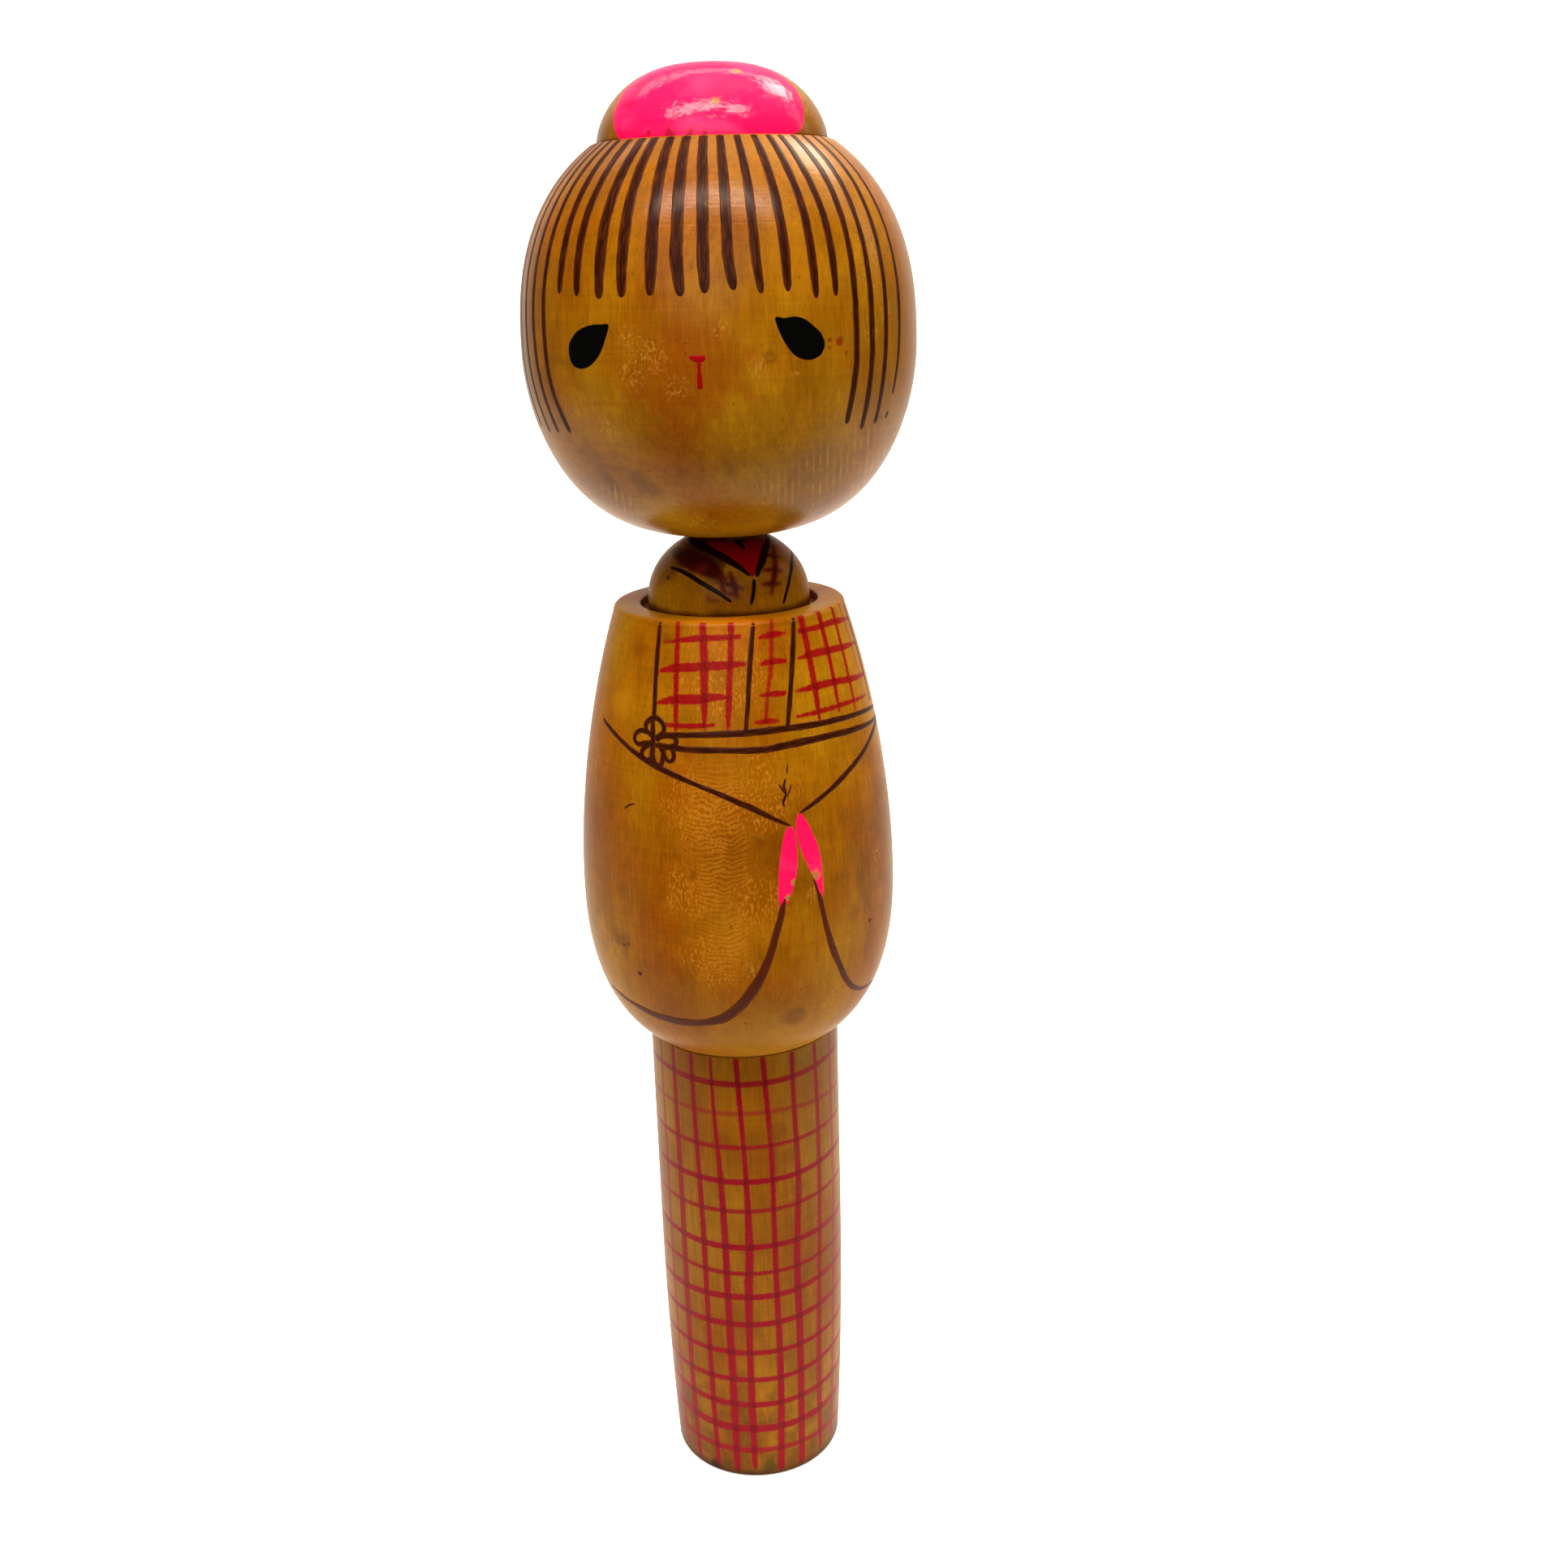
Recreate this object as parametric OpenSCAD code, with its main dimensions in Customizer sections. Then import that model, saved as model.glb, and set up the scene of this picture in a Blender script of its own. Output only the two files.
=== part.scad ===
/* [Legs] */
// Height of the leg column, from the floor to the underside of the jacket barrel
leg_height = 107.2; // [90:0.2:120]
// Radius of the leg column over its straight upper part
leg_radius = 20.4; // [18:0.1:23]
// How much smaller the column's radius is at the foot
foot_taper = 1.6; // [0:0.1:3]
// Height above the floor at which the foot starts to draw in
taper_height = 60; // [30:1:80]
// Rounding of the bottom edge
foot_edge = 1; // [0.5:0.1:2]

/* [Jacket barrel] */
// Height of the barrel's flat top ring above the floor
barrel_top = 200; // [195:0.5:205]
// Height of the barrel's widest line above the floor
barrel_waist = 141; // [135:0.5:148]
// Radius at the widest line
barrel_radius = 32.8; // [30:0.1:36]
// Rounding of the ring's outer edge
rim_edge = 1.2; // [0.6:0.1:1.8]
// Depth of the recess that the shoulder dome stands in
recess_depth = 2; // [1:0.5:4]
// Radius of that recess
recess_radius = 17.9; // [17.2:0.1:19]

/* [Shoulder dome] */
// Radius of the dome where it leaves the recess
dome_radius = 16.35; // [15:0.05:17]
// Height above the floor of the dome's small flat top
dome_top = 213.4; // [212:0.1:214]
// Radius of the round tenon under the dome
dome_tenon_radius = 9; // [7:0.5:11]
// Length of that tenon
dome_tenon_length = 12; // [8:1:20]

/* [Head] */
// Clear gap between the dome's flat top and the head's flat foot
neck_gap = 0.3; // [0.2:0.05:0.6]
// Height above the floor of the head's widest line
head_middle = 249.5; // [247:0.5:252]
// Radius at the widest line
head_radius = 37.9; // [35:0.1:41]
// Height above the floor of the flat crown that carries the topknot
crown_height = 286.2; // [284:0.1:288]

/* [Topknot] */
// Radius of the topknot at the crown
topknot_radius = 21.55; // [19:0.05:22]
// Height of the topknot above the crown
topknot_rise = 13.5; // [10:0.1:18]
// Radius of its tenon
topknot_tenon_radius = 5; // [3:0.5:8]
// Length of its tenon
topknot_tenon_length = 10; // [6:1:16]

/* [Pegs] */
// Radius of the neck peg, on which the head turns
peg_radius = 5; // [3.5:0.25:6]
// Radial clearance of the peg in the head's socket
peg_clearance = 0.05; // [0.02:0.01:0.1]
// Length of the peg above the dome
peg_rise = 14; // [10:1:20]
// Length of the peg inside the dome
peg_depth = 14; // [10:1:20]
// Radius of the dowel between the barrel and the legs
dowel_radius = 6; // [4:0.5:9]
// Length of the dowel in each of the two
dowel_depth = 25; // [15:1:40]

/* [Hidden] */
$fn = 180;

// Colours of honey-lacquered wood, its bare cut faces and the enamel
honey = "#b07a2c";
amber = "#a86f22";
bare_wood = "#cba873";
rose = "#e8247a";

// Stations along each curved outline
steps = 24;

// Space left past the end of the peg, so that the head can settle
socket_relief = 1;

// Heights worked out from the driving dimensions
head_foot = dome_top + neck_gap;
dome_seat = barrel_top - recess_depth;
dome_middle = barrel_top;
topknot_top = crown_height + topknot_rise;

// Reach of each outline: from its middle line to the height where its radius would be nothing,
// which lies a little or a lot past the flat that cuts the outline off
barrel_up_reach = 1.678 * (barrel_top - barrel_waist);
barrel_down_reach = 1.133 * (barrel_waist - leg_height);
dome_reach = 1.095 * (dome_top - dome_middle);
head_up_reach = 1.172 * (crown_height - head_middle);
head_down_reach = 1.003 * (head_middle - head_foot);
topknot_reach = 1.004 * topknot_rise;

// An outline is radius * (1 - t^p)^(1/q), where t is the height over the reach:
// p = q = 2 is an ellipse, a larger q keeps the shape full before it closes
function swell(radius, t, p, q) = radius * pow(max(0, 1 - pow(t, p)), 1 / q);

function barrel_r(z) = z > barrel_waist
    ? swell(barrel_radius, (z - barrel_waist) / barrel_up_reach, 1.83, 1.38)
    : swell(barrel_radius, (barrel_waist - z) / barrel_down_reach, 2.36, 2.81);
function dome_r(z) = swell(dome_radius, max(0, z - dome_middle) / dome_reach, 2.16, 1.89);
function head_r(z) = z > head_middle
    ? swell(head_radius, (z - head_middle) / head_up_reach, 2.47, 2.13)
    : swell(head_radius, (head_middle - z) / head_down_reach, 1.88, 2.94);
function topknot_r(z) = swell(topknot_radius, (z - crown_height) / topknot_reach, 1.6, 2.77);
function leg_r(z) = leg_radius - foot_taper * pow(max(0, 1 - z / taper_height), 2);

// Heights from low to high, packed closer towards both ends, where the outlines bend most
function heights(low, high) =
    [for (i = [0:steps]) (low + high) / 2 - (high - low) / 2 * cos(180 * i / steps)];

// Quarter round of the foot's edge, from the floor up to the side
function foot_round() =
    [for (a = [0:15:75]) [leg_r(foot_edge) - foot_edge + foot_edge * sin(a), foot_edge - foot_edge * cos(a)]];

// Quarter round of the barrel's rim, from the side up to the flat ring
function rim_round() =
    [for (a = [15:15:90]) [barrel_r(barrel_top - rim_edge) - rim_edge + rim_edge * cos(a),
                           barrel_top - rim_edge + rim_edge * sin(a)]];

// Turned solid under an outline that runs from low to high
module turned(outline) {
    ends = [[0, outline[len(outline) - 1][1]], [0, outline[0][1]]];
    rotate_extrude() polygon(concat(outline, ends));
}

// Round hole or peg along the middle line
module round_bar(radius, low, high) {
    translate([0, 0, low]) cylinder(r = radius, h = high - low);
}

// Kimono skirt: a plain column that draws in at the foot
module leg_column() {
    side = [for (z = heights(foot_edge, leg_height)) [leg_r(z), z]];
    color(amber) difference() {
        turned(concat(foot_round(), side));
        round_bar(dowel_radius, leg_height - dowel_depth, leg_height + 1);
    }
}

// Jacket: a barrel with a flat ring on top and a recess for the shoulder dome
module jacket_barrel() {
    lower = [for (z = heights(leg_height, barrel_waist)) [barrel_r(z), z]];
    upper = [for (z = heights(barrel_waist, barrel_top - rim_edge)) if (z > barrel_waist) [barrel_r(z), z]];
    color(honey) difference() {
        turned(concat(lower, upper, rim_round()));
        round_bar(recess_radius, dome_seat, barrel_top + 1);
        round_bar(dome_tenon_radius, dome_seat - dome_tenon_length, dome_seat + 1);
        round_bar(dowel_radius, leg_height - 1, leg_height + dowel_depth);
    }
}

// Shoulders: a dome with a tenon below it and the neck peg's hole on top
module shoulder_dome() {
    side = [for (z = heights(dome_middle, dome_top)) [dome_r(z), z]];
    color(honey) difference() {
        union() {
            turned(concat([[dome_radius, dome_seat]], side));
            round_bar(dome_tenon_radius, dome_seat - dome_tenon_length, dome_seat);
        }
        round_bar(peg_radius, dome_top - peg_depth, dome_top + 1);
    }
}

// Head: a full round ball with a flat crown and a small flat foot
module head() {
    lower = [for (z = heights(head_foot, head_middle)) [head_r(z), z]];
    upper = [for (z = heights(head_middle, crown_height)) if (z > head_middle) [head_r(z), z]];
    color(honey) difference() {
        turned(concat(lower, upper));
        round_bar(peg_radius + peg_clearance, head_foot - 1, dome_top + peg_rise + socket_relief);
        round_bar(topknot_tenon_radius, crown_height - topknot_tenon_length, crown_height + 1);
    }
}

// Topknot: a low dome with a tenon that is glued into the crown
module topknot() {
    side = [for (z = heights(crown_height, topknot_top)) [topknot_r(z), z]];
    color(rose) union() {
        turned(side);
        round_bar(topknot_tenon_radius, crown_height - topknot_tenon_length, crown_height);
    }
}

// Peg glued into the shoulders, on which the head turns
module neck_peg() {
    color(bare_wood) round_bar(peg_radius, dome_top - peg_depth, dome_top + peg_rise);
}

// Dowel glued into the barrel and the legs
module waist_dowel() {
    color(bare_wood) round_bar(dowel_radius, leg_height - dowel_depth, leg_height + dowel_depth);
}

leg_column();
jacket_barrel();
shoulder_dome();
head();
topknot();
neck_peg();
waist_dowel();
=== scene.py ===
"""Kokeshi doll: turned and lacquered wood, brush painting and enamel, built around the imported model."""

import math
from functools import partial

import bpy
import numpy as np
from mathutils import Matrix, Vector


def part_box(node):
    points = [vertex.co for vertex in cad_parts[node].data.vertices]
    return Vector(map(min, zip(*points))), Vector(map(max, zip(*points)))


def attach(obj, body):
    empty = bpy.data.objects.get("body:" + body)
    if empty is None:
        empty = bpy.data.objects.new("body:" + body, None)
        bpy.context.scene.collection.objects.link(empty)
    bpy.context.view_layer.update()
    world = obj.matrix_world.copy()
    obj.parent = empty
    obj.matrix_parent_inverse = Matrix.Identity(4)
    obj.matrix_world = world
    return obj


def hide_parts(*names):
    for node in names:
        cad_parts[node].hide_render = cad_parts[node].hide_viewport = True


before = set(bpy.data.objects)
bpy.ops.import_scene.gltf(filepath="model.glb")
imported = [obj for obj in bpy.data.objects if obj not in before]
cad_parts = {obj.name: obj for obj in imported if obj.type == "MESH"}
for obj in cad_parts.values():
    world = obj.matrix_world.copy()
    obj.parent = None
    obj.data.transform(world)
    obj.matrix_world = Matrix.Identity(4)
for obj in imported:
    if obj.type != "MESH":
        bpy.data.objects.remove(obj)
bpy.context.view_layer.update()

bl_info = {
    "name": "Kokeshi doll",
    "version": (1, 0, 0),
    "blender": (4, 5, 0),
    "location": "3D View > Sidebar > Kokeshi",
    "description": "Builds the wooden pieces of a kokeshi doll, their painting, and a plain studio",
    "category": "Object",
}

MM = 0.001
# Scale of a wave texture that has one band each millimetre
WAVES = 0.314

# ---------------------------------------------------------------- outlines of the turned pieces


def top_mm(node):
    """Height of a CAD node's top, in millimetres."""
    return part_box(node)[1].z / MM


def foot_mm(node):
    """Height of a CAD node's underside, in millimetres."""
    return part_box(node)[0].z / MM


def radius_mm(node):
    """Largest radius of a turned CAD node, in millimetres."""
    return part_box(node)[1].x / MM


LEG_TOP = top_mm("leg_column")
BARREL_TOP = top_mm("jacket_barrel")
DOME_TOP = top_mm("shoulder_dome")
HEAD_FOOT = foot_mm("head")
CROWN = top_mm("head")
KNOT_TOP = top_mm("topknot")
BARREL_WAIST = 141.0
HEAD_MIDDLE = 249.5
RECESS_DEPTH = 2.0
RECESS_RADIUS = 17.9
RIM_EDGE = 1.2
FOOT_TAPER = 1.6
TAPER_HEIGHT = 60.0
FOOT_EDGE = 1.0
DOWEL_RADIUS = radius_mm("waist_dowel")
PEG_RADIUS = radius_mm("neck_peg")
SOCKET_RADIUS = PEG_RADIUS + 0.05
DOME_TENON = 9.0
DOME_TENON_LENGTH = 12.0
KNOT_TENON = 5.0
KNOT_TENON_LENGTH = 10.0
SOCKET_RELIEF = 1.0
DOME_SEAT = BARREL_TOP - RECESS_DEPTH
# Lift of paint off the wood, in millimetres, at its edge and at its hidden underside
PAINT_EDGE = -0.01
PAINT_UNDER = -0.05


def swell(radius, reach, p, q):
    """radius * (1 - reach^p)^(1/q): an outline that closes where reach is 1."""
    return radius * np.maximum(0.0, 1.0 - np.clip(reach, 0.0, None) ** p) ** (1.0 / q)


def barrel_radius(z):
    """Two half swells, above and below the widest line of the jacket."""
    wide = radius_mm("jacket_barrel")
    above = swell(wide, (z - BARREL_WAIST) / (1.678 * (BARREL_TOP - BARREL_WAIST)), 1.83, 1.38)
    below = swell(wide, (BARREL_WAIST - z) / (1.133 * (BARREL_WAIST - LEG_TOP)), 2.36, 2.81)
    return np.where(z > BARREL_WAIST, above, below)


def head_radius(z):
    """Two half swells, above and below the widest line of the head."""
    wide = radius_mm("head")
    above = swell(wide, (z - HEAD_MIDDLE) / (1.172 * (CROWN - HEAD_MIDDLE)), 2.47, 2.13)
    below = swell(wide, (HEAD_MIDDLE - z) / (1.003 * (HEAD_MIDDLE - HEAD_FOOT)), 1.88, 2.94)
    return np.where(z > HEAD_MIDDLE, above, below)


def dome_radius(z):
    """One swell above the recess, and a straight wall down into it."""
    return swell(radius_mm("shoulder_dome"), (z - BARREL_TOP) / (1.095 * (DOME_TOP - BARREL_TOP)), 2.16, 1.89)


def knot_radius(z):
    """One low swell over the crown."""
    return swell(radius_mm("topknot"), (z - CROWN) / (1.004 * (KNOT_TOP - CROWN)), 1.6, 2.77)


def leg_radius(z):
    """A straight column that draws in over its lowest part."""
    return radius_mm("leg_column") - FOOT_TAPER * np.maximum(0.0, 1.0 - z / TAPER_HEIGHT) ** 2


class Outline:
    """Radius as a function of height, with the arc length measured along it from its lower end."""

    def __init__(self, radius_at, low, high):
        self.z = np.linspace(low, high, 3001)
        self.r = radius_at(self.z)
        step = np.hypot(np.diff(self.z), np.diff(self.r))
        self.arc = np.concatenate([[0.0], np.cumsum(step)])
        self.slope_z = np.gradient(self.z, self.arc)
        self.slope_r = np.gradient(self.r, self.arc)

    def arc_at(self, z):
        return np.interp(z, self.z, self.arc)

    def radius(self, arc):
        return np.interp(arc, self.arc, self.r)

    def place(self, angle, arc, lift):
        """Point at an angle from the front (-Y) towards +X, lifted off the surface along its normal."""
        normal_r = np.interp(arc, self.arc, self.slope_z)
        normal_z = -np.interp(arc, self.arc, self.slope_r)
        r = self.radius(arc) + lift * normal_r
        z = np.interp(arc, self.arc, self.z) + lift * normal_z
        return np.stack([r * np.sin(angle), -r * np.cos(angle), z], axis=-1)


HEAD = Outline(head_radius, HEAD_FOOT, CROWN)
KNOT = Outline(knot_radius, CROWN, KNOT_TOP)
DOME = Outline(dome_radius, DOME_SEAT, DOME_TOP)
BARREL = Outline(barrel_radius, LEG_TOP, BARREL_TOP)
LEGS = Outline(leg_radius, 0.0, LEG_TOP)

# ---------------------------------------------------------------- meshes


def shell(first_pole, rings, last_pole):
    """Closed surface: a fan from one pole, rings of equal length joined by quads, a fan to the other pole.
    Returns points, quads and triangles, turned so that the faces point outwards."""
    rows, around, _ = rings.shape
    points = np.concatenate([first_pole[None], rings.reshape(-1, 3), last_pole[None]])
    here = np.arange(around)
    after = (here + 1) % around
    start = 1 + around * np.arange(rows)[:, None]
    low, high = start[:-1], start[1:]
    quads = np.stack([low + here, low + after, high + after, high + here], axis=-1).reshape(-1, 4)
    last = len(points) - 1
    fan_a = np.stack([np.zeros(around, int), start[0] + after, start[0] + here], axis=-1)
    fan_b = np.stack([np.full(around, last), start[-1] + here, start[-1] + after], axis=-1)
    triangles = np.concatenate([fan_a, fan_b])
    corners = np.concatenate([quads[:, :3], quads[:, [0, 2, 3]], triangles])
    a, b, c = (points[corners[:, k]] - points[0] for k in range(3))
    if np.einsum("ij,ij->", a, np.cross(b, c)) < 0:
        quads, triangles = quads[:, ::-1], triangles[:, ::-1]
    return points, quads, triangles


def make_piece(name, shells, attributes, material, body, sharp=None):
    """One mesh object from several shells, in place, smooth, riding on a CAD body."""
    points, quads, triangles, count = [], [], [], 0
    for part_points, part_quads, part_triangles in shells:
        points.append(part_points)
        quads.append(part_quads + count)
        triangles.append(part_triangles + count)
        count += len(part_points)
    points = np.concatenate(points) * MM
    quads, triangles = np.concatenate(quads), np.concatenate(triangles)
    loops = np.concatenate([quads.ravel(), triangles.ravel()])
    sizes = np.concatenate([np.full(len(quads), 4), np.full(len(triangles), 3)])
    starts = np.concatenate([[0], np.cumsum(sizes)[:-1]])
    mesh = bpy.data.meshes.new(name)
    mesh.vertices.add(len(points))
    mesh.vertices.foreach_set("co", points.astype(np.float32).ravel())
    mesh.loops.add(len(loops))
    mesh.loops.foreach_set("vertex_index", loops.astype(np.int32))
    mesh.polygons.add(len(sizes))
    mesh.polygons.foreach_set("loop_start", starts.astype(np.int32))
    mesh.polygons.foreach_set("use_smooth", np.ones(len(sizes), bool))
    for key, values in attributes.items():
        values = np.asarray(values, np.float32)
        kind = "FLOAT" if values.ndim == 1 else "FLOAT_VECTOR"
        field = "value" if values.ndim == 1 else "vector"
        mesh.attributes.new(key, kind, "POINT").data.foreach_set(field, values.ravel())
    mesh.update(calc_edges=True)
    mesh.validate()
    if sharp is not None:
        mesh.set_sharp_from_angle(angle=math.radians(sharp))
    piece = bpy.data.objects.new(name, mesh)
    bpy.context.scene.collection.objects.link(piece)
    mesh.materials.append(material)
    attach(piece, body)
    return piece


def smooth_path(points, spacing):
    """Cubic Hermite curve through the points, each tangent taken from its neighbours.
    Returns stations and their lengths along it."""
    t = np.concatenate([[0.0], np.cumsum(np.hypot(*np.diff(points[:, :2], axis=0).T))])
    slope = np.gradient(points, t, axis=0)
    at = np.linspace(0.0, t[-1], max(10, int(t[-1] / spacing)))
    k = np.clip(np.searchsorted(t, at, side="right") - 1, 0, len(t) - 2)
    gap = (t[k + 1] - t[k])[:, None]
    u = ((at - t[k])[:, None]) / gap
    curve = (2 * u**3 - 3 * u**2 + 1) * points[k] + (u**3 - 2 * u**2 + u) * gap * slope[k]
    curve += (3 * u**2 - 2 * u**3) * points[k + 1] + (u**3 - u**2) * gap * slope[k + 1]
    return curve, at


def flowing(count, waves, seed):
    """Smooth random curve between -1 and 1: a few sines with random phases."""
    random = np.random.default_rng(seed)
    t = np.linspace(0.0, 1.0, count)[:, None]
    phase = random.uniform(0, 2 * math.pi, 5)
    speed = waves * np.array([0.31, 0.57, 1.0, 1.7, 2.9])
    size = np.array([0.3, 0.3, 0.25, 0.15, 0.1])
    return (np.sin(2 * math.pi * speed * t + phase) * size).sum(axis=1)


def stroke(outline, points, film, seed, blunt=(0.5, 0.5), ragged=0.06, load=1.0):
    """Brush stroke: a ribbon of paint along a path of (angle in degrees, height, width in mm).
    Its width closes over the blunt lengths at both ends as an ellipse closes, its top is crowned by
    1 - |across|^4, and its underside lies in the wood. Returns a shell and its brush coordinates:
    millimetres along, share across, and a number of its own."""
    path = np.array(points, float)
    path[:, 0] = np.radians(path[:, 0])
    path[:, 1] = outline.arc_at(path[:, 1])
    middle = outline.radius(path[:, 1]).mean()
    path[:, 0] *= middle
    curve, along = smooth_path(path, 0.3)
    length = along[-1]
    local = outline.radius(curve[:, 1]) / middle
    tangent = np.gradient(curve[:, :2], along, axis=0) * np.stack([local, np.ones_like(local)], axis=-1)
    tangent /= np.linalg.norm(tangent, axis=1)[:, None]
    side = np.stack([-tangent[:, 1], tangent[:, 0]], axis=-1)
    start, end = blunt
    open_start = np.clip(along / start, 0, 1)
    open_end = np.clip((length - along) / end, 0, 1)
    closing = np.sqrt(1 - (1 - open_start) ** 2) * np.sqrt(1 - (1 - open_end) ** 2)
    half = 0.5 * load * curve[:, 2] * closing
    left = half * (1 + ragged * flowing(len(along), length / 6, seed))
    right = half * (1 + ragged * flowing(len(along), length / 5, seed + 1))
    across = np.linspace(-1, 1, 9)
    ring_across = np.concatenate([across, across[::-1]])
    on_top = np.repeat([1, 0], len(across))
    reach = np.where(ring_across < 0, left[:, None], right[:, None]) * ring_across
    angle = curve[:, 0, None] / middle + reach * side[:, 0, None] / outline.radius(curve[:, 1])[:, None]
    arc = curve[:, 1, None] + reach * side[:, 1, None]
    crown = (1 - np.abs(ring_across) ** 4) * closing[:, None] ** 0.5
    lift = np.where(on_top > 0, PAINT_EDGE + (film - PAINT_EDGE) * crown, PAINT_UNDER)
    rings = outline.place(angle, arc, lift)[1:-1]
    poles = [outline.place(curve[k, 0] / middle, curve[k, 1], -0.02) for k in (0, -1)]
    brush = np.stack(np.broadcast_arrays(along[1:-1, None], ring_across, float(seed)), axis=-1).reshape(-1, 3)
    brush = np.concatenate([[[0, 0, seed]], brush, [[length, 0, seed]]])
    return shell(poles[0], rings, poles[1]), brush


def closed_curve(points, count):
    """Closed cubic curve through the points, at count even stations."""
    points = np.array(points, float)
    wrapped = np.concatenate([points[-3:], points, points[:3]])
    curve, along = smooth_path(wrapped, 0.02)
    t = np.concatenate([[0.0], np.cumsum(np.hypot(*np.diff(wrapped, axis=0).T))])
    at = np.linspace(t[3], t[3 + len(points)], count, endpoint=False)
    return np.stack([np.interp(at, along, curve[:, k]) for k in range(2)], axis=-1)


def patch(to_surface, outline_points, centre, film, seed, count=96, rows=10):
    """Filled spot of paint: rings shrink from a closed outline to its centre, on a plane that to_surface lays
    over the wood; the film is flat and falls off at its rim as 1 - share^10. The underside lies in the wood."""
    rim = closed_curve(outline_points, count)
    centre = np.array(centre, float)
    share = np.sin(np.linspace(0.06, 1.0, rows) * math.pi / 2)
    top = centre + share[:, None, None] * (rim - centre)
    under = top[::-1]
    lift_top = PAINT_EDGE + (film - PAINT_EDGE) * (1 - share**10)
    lift = np.concatenate([lift_top, np.full(rows, PAINT_UNDER)])
    plane = np.concatenate([top, under])
    rings = to_surface(plane[..., 0], plane[..., 1], lift[:, None])
    poles = [to_surface(centre[0], centre[1], film), to_surface(centre[0], centre[1], PAINT_UNDER)]
    ring_share = np.concatenate([share, share[::-1]])
    brush = np.stack(np.broadcast_arrays(plane[..., 0], ring_share[:, None], float(seed)), axis=-1).reshape(-1, 3)
    brush = np.concatenate([[[centre[0], 0, seed]], brush, [[centre[0], 0, seed]]])
    return shell(np.asarray(poles[0]), rings, np.asarray(poles[1])), brush


def wrapped(outline):
    """Lays a plane of (degrees, height in mm) over a turned surface, for spots on its side."""

    def to_surface(degrees, height, lift):
        return outline.place(np.radians(degrees), outline.arc_at(height), lift)

    return to_surface


def capped(outline):
    """Lays a plane round the pole over a dome: distance from the pole is arc length, and -y is the front."""

    def to_surface(x, y, lift):
        arc = outline.arc[-1] - np.hypot(x, y)
        return outline.place(np.arctan2(x, -y), arc, lift)

    return to_surface


def painted(name, strokes, material, body):
    """Joins strokes and spots into one piece and keeps their brush coordinates."""
    shells = [part for part, _ in strokes]
    brush = np.concatenate([coordinates for _, coordinates in strokes])
    return make_piece(name, shells, {"brush": brush}, material, body)


def round_corner(r, z, radius, start, end, count=7):
    """Points of an arc about (r, z), from one angle to another, in degrees."""
    a = np.radians(np.linspace(start, end, count))
    return np.stack([r + radius * np.cos(a), z + radius * np.sin(a)], axis=-1)


def outline_points(outline, low, high, spacing):
    """Points on an outline between two heights, evenly spaced by arc length."""
    a, b = outline.arc_at(low), outline.arc_at(high)
    arc = np.linspace(a, b, int(abs(b - a) / spacing) + 2)
    return np.stack([outline.radius(arc), np.interp(arc, outline.arc, outline.z)], axis=-1)


def revolve(profile, around=384):
    """Solid of revolution: the profile runs from the axis round the solid and back to the axis."""
    angle = np.linspace(0, 2 * math.pi, around, endpoint=False)
    r, z = profile[1:-1, 0, None], profile[1:-1, 1, None]
    rings = np.stack(np.broadcast_arrays(r * np.sin(angle), -r * np.cos(angle), z), axis=-1)
    poles = [np.array([0.0, 0.0, profile[k, 1]]) for k in (0, -1)]
    return shell(poles[0], rings, poles[1])


# ---------------------------------------------------------------- dye: distances to brush lines


def line_distance(outline, angle, arc, lines, load, spacing=0.5):
    """Millimetres inside the nearest line, negative outside, and that line's strength.
    Each line is (strength, points), a point being (degrees, height, width)."""
    best = np.full(len(angle), -9.0)
    strength = np.ones(len(angle))
    for share, points in lines:
        path = np.array(points, float)
        path[:, 0] = np.radians(path[:, 0])
        path[:, 1] = outline.arc_at(path[:, 1])
        middle = outline.radius(path[:, 1]).mean()
        path[:, 0] *= middle
        curve, _ = smooth_path(path, spacing)
        reach = curve[:, 2].max() + 1.5
        curve[:, 2] *= load
        near = (arc > curve[:, 1].min() - reach) & (arc < curve[:, 1].max() + reach)
        turn = (angle - curve[:, 0].mean() / middle + math.pi) % (2 * math.pi) - math.pi
        turn += curve[:, 0].mean() / middle
        near &= (turn * middle > curve[:, 0].min() - reach) & (turn * middle < curve[:, 0].max() + reach)
        index = np.flatnonzero(near)
        if len(index) == 0:
            continue
        inside = np.full(len(index), -9.0)
        local = outline.radius(arc[index])
        for block in np.array_split(np.arange(len(index)), max(1, len(index) // 4000)):
            dx = (turn[index[block], None] - curve[:, 0] / middle) * local[block, None]
            dy = arc[index[block], None] - curve[:, 1]
            inside[block] = (0.5 * curve[:, 2] - np.hypot(dx, dy)).max(axis=1)
        closer = inside > best[index]
        best[index[closer]] = inside[closer]
        strength[index[closer]] = share
    return best, strength


# ---------------------------------------------------------------- materials


def linear(code):
    """sRGB hex to linear RGB with full alpha."""
    values = [int(code[k : k + 2], 16) / 255 for k in (1, 3, 5)]
    return tuple(v / 12.92 if v <= 0.04045 else ((v + 0.055) / 1.055) ** 2.4 for v in values) + (1.0,)


# Short names for the settings that come up most
SHORT = {
    "Blend": ("Mix", {"data_type": "RGBA"}),
    "Overlay": ("Mix", {"data_type": "RGBA", "blend_type": "OVERLAY"}),
    "Tint": ("Mix", {"data_type": "RGBA", "blend_type": "MULTIPLY"}),
    "Fade": ("MapRange", {"interpolation_type": "SMOOTHSTEP"}),
}


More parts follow.
